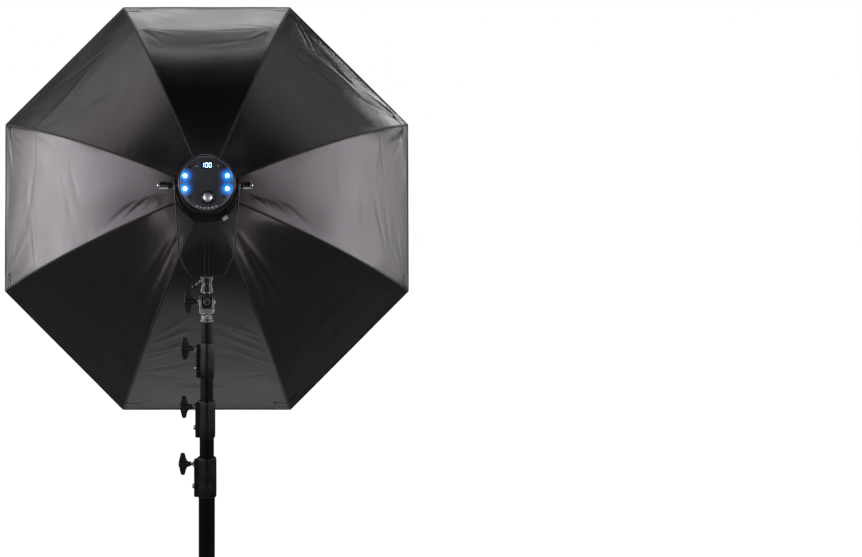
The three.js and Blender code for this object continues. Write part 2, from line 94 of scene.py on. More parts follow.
IN_STAND = basis(Vector((0, STAND_Y, 0)), X, Y, Z)
IN_LAMP = basis(LAMP_AXIS, X, FORWARD, HEAD_UP)
IN_HUB = basis(HUB, X, FORWARD, HEAD_UP)
IN_YOKE = basis(LAMP_AXIS, X, Y, Z)
IN_BRACKET = basis(Vector((0, STAND_Y, joint_point("bracket_tilt").z)), X, Y, Z)

# Turned shapes are drawn round local Z. These turn that axis to the head's forward, to -X, back
# toward the camera, or to +X.
Z_TO_FORWARD = Matrix(((1, 0, 0, 0), (0, 0, 1, 0), (0, -1, 0, 0), (0, 0, 0, 1)))
Z_TO_LEFT = Matrix(((0, 0, -1, 0), (0, 1, 0, 0), (1, 0, 0, 0), (0, 0, 0, 1)))
TURN_X = Matrix.Rotation(math.pi / 2, 4, "X")
TURN_Y = Matrix.Rotation(math.pi / 2, 4, "Y")

# ------------------------------------------------------------------ camera, floor, light
CAMERA_BACK = 2.85              # metres behind the softbox's ring
CAMERA_BELOW_HUB = 0.025
CAMERA_PITCH = math.radians(3.72)
LENS = 50.1
SHIFT_TO_LEFT = 0.2601          # the object stands left of the picture's middle
SENSOR_WIDTH = 36.0
STUDIO_DARK = 0.004             # strength of the studio's walls behind the camera
STUDIO_PALE = 0.03              # and in front of it; the camera itself sees plain white


def make_camera():
    data = bpy.data.cameras.new("camera")
    data.lens = LENS
    data.sensor_width = SENSOR_WIDTH
    data.shift_x = SHIFT_TO_LEFT
    camera = bpy.data.objects.new("camera", data)
    camera.location = (0.0, HUB.y - CAMERA_BACK, HUB.z - CAMERA_BELOW_HUB)
    camera.rotation_euler = (math.pi / 2 - CAMERA_PITCH, 0.0, 0.0)
    link(camera)
    bpy.context.scene.camera = camera


def area_light(name, place, target, width, height, radiance):
    """A soft light with its width level and its height in its own upright direction."""
    data = bpy.data.lights.new(name, "AREA")
    data.shape = "RECTANGLE"
    data.size = width
    data.size_y = height
    data.energy = math.pi * width * height * radiance
    light = bpy.data.objects.new(name, data)
    light.location = place
    light.rotation_mode = "QUATERNION"
    light.rotation_quaternion = (Vector(target) - Vector(place)).to_track_quat("-Z", "Y")
    light.visible_camera = False
    link(light)


def make_lights():
    """Long soft lights on both sides, a light above the front edge, weaker ones over the
    upper corners, a bounce board under the front, and a weak light from the camera's side."""
    area_light("light_left", (-3.0, -0.1, 1.7), (0, -0.1, 1.7), 5.0, 1.2, 3.6)
    area_light("light_right", (3.0, -0.1, 1.7), (0, -0.1, 1.7), 5.0, 1.2, 2.5)
    above_rim = HUB + Vector((0, 1.86, 1.64))
    area_light("light_top", above_rim, HUB + Vector((0, 0.5, 0.6)), 1.3, 0.8, 2.25)
    for side, behind, above in ((-1, 5.6, 0.84), (1, 4.8, 0.38)):
        area_light(f"light_back_{side}", (side * 2.1, -3.35, 1.66), HUB, 1.9, 0.8, behind)
        corner = HUB + Vector((side * 1.7, 0.45, 1.7))
        area_light(f"light_corner_{side}", corner, HUB, 2.6, 1.6, above)
    below_rim = HUB + Vector((0, 0.38, -1.5))
    area_light("light_bounce", below_rim, HUB + Vector((0, 0.2, 0)), 0.9, 2.1, 0.4)
    area_light("light_key", (-2.3, -2.9, 2.7), (0, 0, 1.4), 1.4, 1.0, 0.4)
    area_light("light_front", (1.6, 4.2, 2.4), HUB, 2.0, 2.0, 5.0)


def make_studio():
    """Very dark surroundings that pale toward the front; white where the camera sees them."""
    scene = bpy.context.scene
    scene.view_settings.view_transform = "Standard"
    world = bpy.data.worlds.new("studio")
    scene.world = world
    world.use_nodes = True
    tree = world.node_tree
    background = tree.nodes["Background"]
    coordinates = tree.nodes.new("ShaderNodeTexCoord")
    split = tree.nodes.new("ShaderNodeSeparateXYZ")
    fade = tree.nodes.new("ShaderNodeMapRange")
    fade.inputs["From Min"].default_value = -0.2
    fade.inputs["From Max"].default_value = 0.8
    fade.inputs["To Min"].default_value = STUDIO_DARK
    fade.inputs["To Max"].default_value = STUDIO_PALE
    tree.links.new(coordinates.outputs["Generated"], split.inputs[0])
    tree.links.new(split.outputs["Y"], fade.inputs["Value"])
    path = tree.nodes.new("ShaderNodeLightPath")
    seen = tree.nodes.new("ShaderNodeMath")
    seen.operation = "MAXIMUM"
    tree.links.new(fade.outputs["Result"], seen.inputs[0])
    tree.links.new(path.outputs["Is Camera Ray"], seen.inputs[1])
    tree.links.new(seen.outputs[0], background.inputs["Strength"])
    background.inputs["Color"].default_value = (1.0, 1.0, 1.0, 1.0)


# ------------------------------------------------------------------ materials
class Shader:
    """A Principled material with a few short ways to wire patterns into it."""

    def __init__(self, name, metallic=0.0, roughness=0.5):
        self.material = bpy.data.materials.new(name)
        self.material.use_nodes = True
        self.tree = self.material.node_tree
        self.bsdf = self.tree.nodes["Principled BSDF"]
        self.bsdf.inputs["Metallic"].default_value = metallic
        self.bsdf.inputs["Roughness"].default_value = roughness
        self.height = None

    def node(self, kind, **settings):
        made = self.tree.nodes.new("ShaderNode" + kind)
        for key, value in settings.items():
            setattr(made, key, value)
        return made

    def wire(self, source, target):
        self.tree.links.new(source, target)

    def coordinates(self, stretch=(1, 1, 1), source="Object"):
        place = self.node("TexCoord")
        mapping = self.node("Mapping")
        mapping.inputs["Scale"].default_value = stretch
        self.wire(place.outputs[source], mapping.inputs["Vector"])
        return mapping.outputs["Vector"]

    def noise(self, scale, detail=3.0, stretch=(1, 1, 1)):
        made = self.node("TexNoise")
        made.inputs["Scale"].default_value = scale
        made.inputs["Detail"].default_value = detail
        self.wire(self.coordinates(stretch), made.inputs["Vector"])
        return made.outputs["Fac"]

    def wave(self, period, direction):
        """Even bands across the UV map's X or Y, with the period in metres."""
        made = self.node("TexWave", wave_type="BANDS", bands_direction=direction)
        made.inputs["Scale"].default_value = TAU / 20 / period
        self.wire(self.coordinates(source="UV"), made.inputs["Vector"])
        return made.outputs["Fac"]

    def math(self, operation, first, second=0.0):
        made = self.node("Math", operation=operation)
        for socket, value in zip(made.inputs, (first, second)):
            if isinstance(value, (int, float)):
                socket.default_value = value
            else:
                self.wire(value, socket)
        return made.outputs[0]

    def spread(self, value, low, high, start=0.3, end=0.7):
        """Maps start..end to low..high."""
        made = self.node("MapRange")
        sockets = {"From Min": start, "From Max": end, "To Min": low, "To Max": high}
        for name, number in sockets.items():
            made.inputs[name].default_value = number
        self.wire(value, made.inputs["Value"])
        return made.outputs["Result"]

    def blend(self, value, first, second):
        made = self.node("Mix", data_type="RGBA")
        self.wire(value, made.inputs["Factor"])
        for socket, colour in ((made.inputs[6], first), (made.inputs[7], second)):
            if isinstance(colour, tuple):
                socket.default_value = (*colour, 1.0)
            else:
                self.wire(colour, socket)
        return made.outputs[2]

    def colour(self, value):
        self.wire(value, self.bsdf.inputs["Base Color"])

    def rough(self, value):
        self.wire(value, self.bsdf.inputs["Roughness"])

    def bump(self, height, depth, strength=1.0):
        made = self.node("Bump")
        made.inputs["Strength"].default_value = strength
        made.inputs["Distance"].default_value = depth
        self.wire(height, made.inputs["Height"])
        if self.height is not None:
            self.wire(self.height, made.inputs["Normal"])
        self.height = made.outputs["Normal"]
        self.wire(self.height, self.bsdf.inputs["Normal"])

    def set(self, **sockets):
        for name, value in sockets.items():
            self.bsdf.inputs[name.replace("_", " ")].default_value = value
        return self


def shade(colour, factor):
    return tuple(min(channel * factor, 1.0) for channel in colour)


def moulded(name, colour, roughness, grain=900.0, depth=0.00006, shine=0.4):
    """Moulded plastic or rubber: a fine pebbled skin, mottling and rubbed edges."""
    s = Shader(name)
    mottled = s.blend(s.spread(s.noise(28), 0, 1), shade(colour, 0.8), shade(colour, 1.25))
    edge = s.spread(s.node("NewGeometry").outputs["Pointiness"], 0, 1, 0.52, 0.60)
    s.colour(s.blend(s.math("MULTIPLY", edge, 0.5), mottled, shade(colour, 2.6)))
    s.rough(s.spread(s.noise(60), roughness - 0.07, roughness + 0.08))
    s.bump(s.noise(grain, 2), depth, 0.6)
    return s.set(Specular_IOR_Level=shine).material


def metal(name, colour, roughness, metallic, grain, depth, stretch=(1, 1, 1), wear=1.5, shine=0.5):
    """Cast, plated or anodised metal with fine grain, faint scratches and bright edges."""
    s = Shader(name, metallic)
    dull = s.blend(s.spread(s.noise(35), 0, 1), shade(colour, 0.82), shade(colour, 1.12))
    edge = s.spread(s.node("NewGeometry").outputs["Pointiness"], 0, 1, 0.515, 0.58)
    s.colour(s.blend(s.math("MULTIPLY", edge, 0.7), dull, shade(colour, wear)))
    s.rough(s.spread(s.noise(grain / 2, 4, stretch), roughness - 0.08, roughness + 0.1))
    s.bump(s.noise(grain, 3, stretch), depth, 0.5)
    return s.set(Specular_IOR_Level=shine).material


HEM = 0.026                     # metres from the rim to the hem's stitching


def nylon(name, colour, roughness):
    """Black satin nylon: plain weave, soft mottling, and a stitched hem near the rim.
    U runs across the panel and V is the distance from the rim, both in metres."""
    s = Shader(name)
    slow = s.spread(s.noise(4.0, 4), 0, 1)
    thread = s.math("ADD", s.wave(0.0011, "X"), s.wave(0.0013, "Y"))
    base = s.blend(slow, shade(colour, 0.75), shade(colour, 1.3))
    fine = s.blend(s.spread(thread, 0, 1, 0.4, 1.6), shade(colour, 0.6), base)
    split = s.node("SeparateXYZ")
    s.wire(s.coordinates(source="UV"), split.inputs[0])
    across = s.math("ABSOLUTE", s.math("SUBTRACT", split.outputs["Y"], HEM))
    line = s.math("LESS_THAN", across, 0.0007)
    dash = s.math("GREATER_THAN", s.wave(0.0044, "X"), 0.35)
    stitch = s.math("MULTIPLY", line, dash)
    band = s.math("LESS_THAN", split.outputs["Y"], HEM)
    s.colour(s.blend(stitch, fine, shade(colour, 5.0)))
    s.rough(s.math("ADD", s.spread(s.noise(9, 5), roughness - 0.03, roughness + 0.04),
                   s.math("MULTIPLY", band, 0.05)))
    s.bump(thread, 0.00012, 0.35)
    s.bump(s.noise(70, 4), 0.0006, 0.25)
    s.bump(s.spread(across, 0, 1, 0.0, 0.0032), 0.0018, 0.6)
    s.bump(stitch, 0.0006, 0.6)
    s.bump(s.math("MULTIPLY", band, s.noise(34, 3)), 0.0016, 0.35)
    grain = s.node("Tangent", direction_type="UV_MAP")
    s.wire(grain.outputs[0], s.bsdf.inputs["Tangent"])
    return s.set(Anisotropic=0.45, Anisotropic_Rotation=0.25, Specular_IOR_Level=1.0,
                 Specular_Tint=(1.0, 0.88, 0.98, 1.0)).material


def lining(name):
    """Silver lining cloth with a pebbled foil surface."""
    s = Shader(name, 0.85)
    s.colour(s.blend(s.spread(s.noise(20), 0, 1), (0.55, 0.56, 0.58), (0.78, 0.79, 0.81)))
    s.rough(s.spread(s.noise(120), 0.3, 0.5))
    s.bump(s.noise(450, 3), 0.0008, 0.8)
    return s.material


def diffusion(name):
    """White front cloth: fine weave and faint creases."""
    s = Shader(name)
    thread = s.math("ADD", s.wave(0.0012, "X"), s.wave(0.0012, "Y"))
    cream = s.blend(s.spread(s.noise(3, 4), 0, 1), (0.80, 0.80, 0.785), (0.88, 0.88, 0.875))
    s.colour(s.blend(s.spread(thread, 0, 1, 0.2, 1.4), shade((0.8, 0.8, 0.79), 0.9), cream))
    s.rough(s.spread(s.noise(40), 0.72, 0.9))
    s.bump(thread, 0.0001, 0.4)
    s.bump(s.noise(14, 4), 0.0016, 0.35)
    return s.set(Sheen_Weight=0.15).material


def webbing(name, colour):
    """Ribbed tape with two rows of stitches. U runs across it and V along it, in metres."""
    s = Shader(name)
    ribs = s.wave(0.0018, "Y")
    split = s.node("SeparateXYZ")
    s.wire(s.coordinates(source="UV"), split.inputs[0])
    off = s.math("ABSOLUTE", s.math("SUBTRACT", s.math("ABSOLUTE", split.outputs["X"]), 0.0031))
    stitch = s.math("MULTIPLY", s.math("LESS_THAN", off, 0.0006),
                    s.math("GREATER_THAN", s.wave(0.005, "Y"), 0.4))
    mottled = s.blend(s.spread(s.noise(30), 0, 1), shade(colour, 0.75), shade(colour, 1.3))
    s.colour(s.blend(stitch, mottled, shade(colour, 3.2)))
    s.rough(s.spread(s.noise(60), 0.5, 0.68))
    s.bump(ribs, 0.0003, 0.4)
    s.bump(stitch, 0.0005, 0.6)
    return s.set(Sheen_Weight=0.08, Sheen_Roughness=0.4).material


# The small lamps' glow on the panel and bezel is painted, as light given off by the panel itself.
PAINTED_GLOW_REACH = 0.025              # metres that a small lamp's glow spreads over the panel
# Millimetres to the right and up from the middle of the lamp's rear panel.
LEDS = ((-48.5, 16.2), (45.8, 16.2), (-48.5, -12.9), (45.8, -12.9))


def glowing(name, colour, strength):
    s = Shader(name, 0.0, 0.25)
    core = s.blend(s.spread(s.noise(300), 0, 1), shade(colour, 0.9), colour)
    s.colour(core)
    s.wire(core, s.bsdf.inputs["Emission Color"])
    return s.set(Emission_Strength=strength).material


def panel_with_painted_glow(name, colour, roughness, metallic, shine):
    """Panel skin with a painted blue glow round each of the four small lamps. U and V are metres
    on the panel, to the right and up from its middle."""
    s = Shader(name, metallic)
    s.colour(s.blend(s.spread(s.noise(28), 0, 1), shade(colour, 0.85), shade(colour, 1.15)))
    s.rough(s.spread(s.noise(60), roughness - 0.05, roughness + 0.06))
    s.bump(s.noise(700, 2), 0.00003, 0.5)
    spot = s.coordinates(source="UV")
    glow = 0.0
    for x, z in LEDS:
        gap = s.node("VectorMath", operation="DISTANCE")
        s.wire(spot, gap.inputs[0])
        gap.inputs[1].default_value = (x * MM, z * MM, 0)
        near = s.math("POWER", s.spread(gap.outputs["Value"], 1, 0, 0.003, PAINTED_GLOW_REACH), 2.6)
        glow = s.math("ADD", near, glow)
    # Painted glow: the panel gives off blue light round each small lamp.
    s.wire(s.blend(s.math("MINIMUM", glow, 1.0), (0.0, 0.13, 0.70), (0.0, 0.40, 1.0)),
           s.bsdf.inputs["Emission Color"])
    s.wire(s.math("MULTIPLY", glow, 1.9), s.bsdf.inputs["Emission Strength"])
    return s.set(Specular_IOR_Level=shine).material


def frosted(name):
    s = Shader(name, 0.0, 0.35)
    s.colour(s.blend(s.spread(s.noise(50), 0, 1), (0.82, 0.87, 0.9), (0.94, 0.96, 0.97)))
    s.rough(s.spread(s.noise(200), 0.28, 0.42))
    s.bump(s.noise(700), 0.0001, 0.4)
    return s.set(Transmission_Weight=0.6, IOR=1.47).material


LOOK = {
    "tube": metal("black_anodised", (0.003, 0.003, 0.0034), 0.3, 0.08, 160, 0.00003,
                  (1, 1, 0.03), wear=2.6, shine=0.2),
    "plastic": moulded("black_nylon_moulding", (0.005, 0.005, 0.0055), 0.34, shine=0.35),
    "knob": moulded("knob_moulding", (0.006, 0.006, 0.0063), 0.38, shine=0.45),
    "casting": metal("gunmetal_casting", (0.21, 0.21, 0.225), 0.42, 0.9, 420, 0.00012, wear=2.4),
    "dark_casting": metal("dark_casting", (0.018, 0.018, 0.02), 0.45, 0.6, 420, 0.00012, wear=2.0),
    "yoke": metal("yoke_anodised", (0.05, 0.05, 0.057), 0.34, 0.85, 300, 0.00004, wear=2.4),
    "chrome": metal("chrome_plate", (0.72, 0.72, 0.74), 0.13, 1.0, 150, 0.00001, wear=1.15),
    "satin": metal("satin_nickel", (0.86, 0.86, 0.88), 0.38, 0.95, 500, 0.00006, wear=1.05),
    "brass": metal("brass", (0.40, 0.31, 0.16), 0.3, 1.0, 200, 0.00002, wear=1.4),
    "shell": moulded("lamp_shell", (0.006, 0.006, 0.007), 0.36, 1100, 0.00005),
    # The rear panel and its bezel carry the painted glow of the small lamps.
    "panel": panel_with_painted_glow("lamp_panel", (0.045, 0.049, 0.060), 0.3, 0.0, 0.5),
    "bezel": panel_with_painted_glow("bezel_ring", (0.42, 0.44, 0.48), 0.36, 0.9, 0.5),
    "window": moulded("display_glass", (0.002, 0.002, 0.0025), 0.12, 200, 0.000005, shine=0.5),
    "rubber": moulded("rubber", (0.012, 0.012, 0.012), 0.7, 600, 0.0001),
    "rod": metal("spring_steel", (0.30, 0.30, 0.31), 0.3, 1.0, 200, 0.00002, wear=1.3),
    "nylon": nylon("black_satin_nylon", (0.0065, 0.006, 0.0068), 0.31),
    "lining": lining("silver_lining"),
    "front": diffusion("white_diffusion_cloth"),
    "webbing": webbing("black_webbing", (0.010, 0.0097, 0.0104)),
    "white_tape": webbing("white_binding", (0.62, 0.62, 0.61)),
    "led": glowing("led_lens", (0.72, 0.9, 1.0), 9.0),
    "digits": glowing("display_digits", (0.55, 0.82, 1.0), 3.0),
    "screen": glowing("display_backlight", (0.002, 0.022, 0.085), 0.8),
    "glass": frosted("frosted_dome"),
    # Painted shade: a near-black look for slits, holes and vents, standing in for the shade inside them.
    "hole": moulded("painted_shade_recess", (0.003, 0.003, 0.003), 0.8, shine=0.2),
}


# ------------------------------------------------------------------ mesh building
def turned(bm, profile, place, sides=64):
    """Turns [radius, height] pairs round local Z. A profile that ends where it starts is a ring."""
    rings = []
    ring_like = profile[0] == profile[-1]
    for radius, height in profile[:-1] if ring_like else profile:
        if radius < 1e-6:
            rings.append([bm.verts.new(place @ Vector((0, 0, height)))])
            continue
        rings.append([
            bm.verts.new(place @ Vector((radius * math.cos(a), radius * math.sin(a), height)))
            for a in (TAU * i / sides for i in range(sides))
        ])
    pairs = list(zip(rings, rings[1:])) + ([(rings[-1], rings[0])] if ring_like else [])
    for low, high in pairs:
        for i in range(sides):
            j = (i + 1) % sides
            corners = (low[i % len(low)], low[j % len(low)], high[j % len(high)], high[i % len(high)])
            unique = list(dict.fromkeys(corners))
            if len(unique) > 2:
                bm.faces.new(unique)


def prism(bm, outline, low, high, place):
    """A flat outline in local X and Y, thick along local Z."""
    bottom = [bm.verts.new(place @ Vector((x, y, low))) for x, y in outline]
    top = [bm.verts.new(place @ Vector((x, y, high))) for x, y in outline]
    bm.faces.new(bottom[::-1])
    bm.faces.new(top)
    for i in range(len(outline)):
        j = (i + 1) % len(outline)
        bm.faces.new((bottom[i], bottom[j], top[j], top[i]))


def block(bm, x0, x1, y0, y1, z0, z1, place):
    prism(bm, [(x0, y0), (x1, y0), (x1, y1), (x0, y1)], z0, z1, place)


def swept(bm, centres, section, side, uv=False):
    """A closed section of [across, out] pairs carried along points; side is the direction of
    'across'. All in the row frame, in metres."""
    layer = bm.loops.layers.uv.verify() if uv else None
    rows, lengths, run = [], [], 0.0
    for i, centre in enumerate(centres):
        ahead = (centres[min(i + 1, len(centres) - 1)] - centres[max(i - 1, 0)]).normalized()
        out = ahead.cross(side).normalized()
        across = out.cross(ahead).normalized()
        rows.append([bm.verts.new(centre + across * a + out * o) for a, o in section])
        run += (centre - centres[max(i - 1, 0)]).length
        lengths.append(run)
    for i in range(len(rows) - 1):
        for j in range(len(section)):
            k = (j + 1) % len(section)
            face = bm.faces.new((rows[i][j], rows[i][k], rows[i + 1][k], rows[i + 1][j]))
            if layer:
                spots = [(j, i), (k, i), (k, i + 1), (j, i + 1)]
                for loop, (a, b) in zip(face.loops, spots):
                    loop[layer].uv = (section[a][0], lengths[b])
    bm.faces.new(rows[0][::-1])
    bm.faces.new(rows[-1])


def circle(radius, sides):
    return [(radius * math.cos(TAU * i / sides), radius * math.sin(TAU * i / sides))
            for i in range(sides)]


def arc(cx, cy, radius, start, end, steps=10):
    """Points of an arc, from start to end in degrees."""
    turns = [math.radians(start + (end - start) * i / steps) for i in range(steps + 1)]
    return [(cx + radius * math.cos(a), cy + radius * math.sin(a)) for a in turns]


def rounded_box(x0, x1, y0, y1, radius):
    left, right = x0 + radius, x1 - radius
    near, far = y0 + radius, y1 - radius
    corners = ((right, near, -90), (right, far, 0), (left, far, 90), (left, near, 180))
    return [point for x, y, start in corners for point in arc(x, y, radius, start, start + 90, 4)]


def mesh_object(name, bm, materials):
    mesh = bpy.data.meshes.new(name)
    bm.to_mesh(mesh)
    bm.free()
    for material in materials:
        mesh.materials.append(material)
    obj = bpy.data.objects.new(name, mesh)
    link(obj)
    return obj


def piece(name, bm, look, body, nodes=(), slot=None, bevel=0.0, segments=3, sharp=38.0):
    """Makes the object, gives it its material, and puts it on its body."""
    bmesh.ops.recalc_face_normals(bm, faces=bm.faces)
    obj = mesh_object(name, bm, [LOOK[look]])
    obj.data.shade_smooth()
    obj.data.set_sharp_from_angle(angle=math.radians(sharp))
    if bevel:
        modifier = obj.modifiers.new("soft_edges", "BEVEL")
        modifier.width = bevel * MM
        modifier.segments = segments
        modifier.limit_method = "ANGLE"
        modifier.angle_limit = math.radians(32)
        modifier.harden_normals = True
    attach(obj, body)
    if nodes:
        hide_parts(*nodes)
    return obj


def node_piece(node, bm, look, **options):
    """The piece that is seen in place of one CAD node."""
    return piece(node + "_body", bm, look, BODY_OF[node], [node], **options)


# ------------------------------------------------------------------ clamp knobs
def clamp_knob(node):
    """T-shaped clamp knob that points back along its joint's axis, to local -X."""
    axis = joint_axis(node + "_turn")
    place = basis(joint_point(node + "_turn"), axis, Z.cross(axis), Z)
    flat = place @ TURN_X
    left = place @ Z_TO_LEFT
    bm = bmesh.new()
    upper = [(-16, 7), (-18.5, 13), (-21.5, 24.5)] + arc(-27, 21, 4.5, 75, 150, 4) + [(-34, 11), (-35, 4)]
    lower = [(x * 0.97 - 0.4, -y) for x, y in reversed(upper)]
    prism(bm, upper + lower, -5.2, 5.2, flat)
    turned(bm, [(0, 6.6), (5.0, 6.6), (5.8, 7.8), (5.8, 12.6), (7.6, 14), (8.2, 16), (8.2, 33), (6.6, 35.4),
                (0, 36)], left, 40)
    node_piece(node, bm, "knob", bevel=1.9, segments=4)
    bm = bmesh.new()
    thread = [(0, 0.2), (3.5, 0.2)]
    for i in range(9):
        thread += [(3.6, 3.0 + i * 1.2), (3.1, 3.6 + i * 1.2)]
    turned(bm, thread + [(4.8, 14.2), (4.8, 16), (0, 16)], left, 32)
    piece(node + "_stud", bm, "brass", BODY_OF[node], slot="chrome")
    bm = bmesh.new()
    turned(bm, [(3.6, 0.3), (7.2, 0.3), (7.4, 0.8), (7.2, 2.2), (3.6, 2.4), (3.6, 0.3)], left, 40)
    piece(node + "_washer", bm, "chrome", BODY_OF[node], slot="chrome", bevel=0.2)


# ------------------------------------------------------------------ stand column
TUBE_WALL = 1.5


def measure(node):
    """Bottom, top, and reach to the right and to the left of a node, in millimetres."""
    low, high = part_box(node)
    return low.z / MM, high.z / MM, high.x / MM, -low.x / MM


def stand_tubes():
    for node in ("base_tube", "section_tube_2", "section_tube_3", "section_tube_4"):
        low, high, radius, _ = measure(node)
        bm = bmesh.new()
        if node == "section_tube_4":
            shoulder = joint_point("receiver_pan").z / MM - 0.4
            turned(bm, [(0, shoulder - 12), (radius - TUBE_WALL, shoulder - 12), (radius - TUBE_WALL, low),
                        (radius, low), (radius, shoulder), (9.4, shoulder), (0, shoulder)], IN_STAND)
            node_piece(node, bm, "tube", bevel=0.5)
            bm = bmesh.new()
            turned(bm, [(0, shoulder), (8, shoulder), (8, high - 12), (6.8, high - 10.5), (6.8, high - 6),
                        (8, high - 4.5), (8, high - 2), (6, high), (0, high)], IN_STAND, 48)
            piece("spigot", bm, "chrome", BODY_OF[node], slot="chrome", bevel=0.3)
            continue
        bore = radius - TUBE_WALL
        turned(bm, [(bore, low), (radius, low), (radius, high), (bore, high), (bore, low)], IN_STAND)
        node_piece(node, bm, "tube", bevel=0.4)


def stand_collars():
    for i in (1, 2, 3):
        node = f"collar_{i}"
        low, high, radius, ear = measure(node)
        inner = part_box(f"section_tube_{i + 1}")
        bore = (inner[1].x - inner[0].x) / 2 / MM
        height = high - low
        bm = bmesh.new()
        turned(bm, [
            (bore + 0.6, high - 1), (bore + 1.6, high), (radius - 1.6, high), (radius - 0.5, high - 1.4),
            (radius - 0.2, high - 5), (radius, low + 0.62 * height), (radius + 0.1, low + 0.3 * height),
            (radius, low + 5), (radius - 0.7, low + 1.3), (radius - 2, low), (bore + 0.8, low),
            (bore + 0.6, high - 1),
        ], IN_STAND, 72)
        ear_place = IN_STAND @ TURN_X
        outline = [(-radius * 0.5, low + 1)] + arc(-ear + 3.5, low + 4.5, 3.5, 270, 180, 5)
        outline += arc(-ear + 4.5, high - 8.5, 4.5, 180, 90, 5) + [(-radius * 0.5, high - 4)]
        prism(bm, outline, -8.5, -1.1, ear_place)
        prism(bm, outline, 1.1, 8.5, ear_place)
        node_piece(node, bm, "plastic", bevel=1.0)
        # A dark block filling the slit between the ears: painted shade for the gap.
        bm = bmesh.new()
        block(bm, -ear + 1.5, -radius * 0.55, -1.2, 1.2, low + 3, high - 6, IN_STAND)
        piece(f"collar_{i}_slit_painted_shade", bm, "hole", BODY_OF[node], slot="black_plastic")
        bm = bmesh.new()
        spot = IN_STAND @ shift(-ear + 0.4, 0, low + 0.27 * height) @ Z_TO_LEFT
        turned(bm, [(0, -1), (6.4, -1), (6.4, 0.6), (5.4, 0.9), (5.2, 2.6), (3.6, 4.4), (0, 5.2)], spot, 36)
        piece(f"collar_{i}_nut", bm, "rod", BODY_OF[node], slot="chrome", bevel=0.3)
        clamp_knob(f"collar_knob_{i}")


# ------------------------------------------------------------------ tripod
LEG_AZIMUTHS = (90, 210, 330)
FOOT_REACH = 500.0              # stand axis to where a foot meets the floor
BRACE_ALONG_LEG = 300           # leg pivot to the brace's joint on the leg
ALONG_Y = Matrix.Rotation(-math.pi / 2, 4, "X")


def spoke(azimuth, height=0.0):
    """Millimetres with local X away from the stand axis, Y round it and Z up."""
    turn = Matrix.Rotation(math.radians(azimuth), 4, "Z")
    return IN_STAND @ shift(0, 0, height) @ turn


def pin(bm, place, length, radius, head):
    """Rivet along local Z, centred on the origin."""
    half = length / 2
    turned(bm, [(0, -half - 1.6), (head * 0.6, -half - 1.4), (head, -half), (radius, -half), (radius, half),
                (head, half), (head * 0.6, half + 1.4), (0, half + 1.6)], place, 28)


def spoke_point(joint):
    """Where a leg's or a brace's joint is in its spoke's own X and Z, in millimetres."""
    point = joint_point(joint)
    return Vector((math.hypot(point.x, point.y - STAND_Y), 0, point.z)) / MM


def leg_collar(pivot):
    """The collar that slides on the base tube, with two cheeks and a pin for each leg."""
    low, high, _, _ = measure("leg_collar")
    bm = bmesh.new()
    turned(bm, [(19.4, low), (25.5, low), (27, low + 2), (27, low + 6), (25.8, low + 8), (25.8, high - 14),
                (27, high - 12), (27, high - 2), (25.4, high), (19.4, high), (19.4, low)], IN_STAND, 72)
    for azimuth in LEG_AZIMUTHS:
        for side in (-1, 1):
            cheek = arc(46, 0, 11.5, -90, 90, 10) + [(22, 11.5), (22, -11.5)]
            prism(bm, cheek, side * 12.4 - 1.9, side * 12.4 + 1.9,
                  spoke(azimuth, pivot.z) @ TURN_X)
    node_piece("leg_collar", bm, "plastic", bevel=0.8)
    clamp_knob("leg_collar_knob")
    bm = bmesh.new()
    for azimuth in LEG_AZIMUTHS:
        pin(bm, spoke(azimuth, pivot.z) @ shift(pivot.x, 0, 0) @ ALONG_Y, 28.6, 3, 4.6)
    piece("leg_pins", bm, "chrome", "leg_slider", slot="chrome")


def brace_hub(hub):
    """The braces' hub with its lugs and pins, and the plug under the base tube."""
    low, high, _, _ = measure("brace_hub")
    bm = bmesh.new()
    turned(bm, [(19.4, low), (26, low), (28, low + 2), (28, high - 2), (26, high), (19.4, high), (19.4, low)],
           IN_STAND, 72)
    for azimuth in LEG_AZIMUTHS:
        lug = arc(41, 0, 8.5, -90, 90, 10) + [(22, 8.5), (22, -8.5)]
        prism(bm, lug, -17.6, -13.7, spoke(azimuth, hub.z) @ TURN_X)
    node_piece("brace_hub", bm, "plastic", bevel=0.8)
    bm = bmesh.new()
    for azimuth in LEG_AZIMUTHS:
        pin(bm, spoke(azimuth, hub.z) @ shift(hub.x, 14.7, 0) @ ALONG_Y, 5.6, 2.6, 4.2)
    piece("brace_pins", bm, "chrome", "stand_base", slot="chrome")
    bm = bmesh.new()
    turned(bm, [(0, 73), (15, 73), (17.2, 75.4), (17.2, 79), (0, 79)], IN_STAND, 48)
    piece("base_plug", bm, "plastic", "stand_base", slot="black_plastic", bevel=0.6)


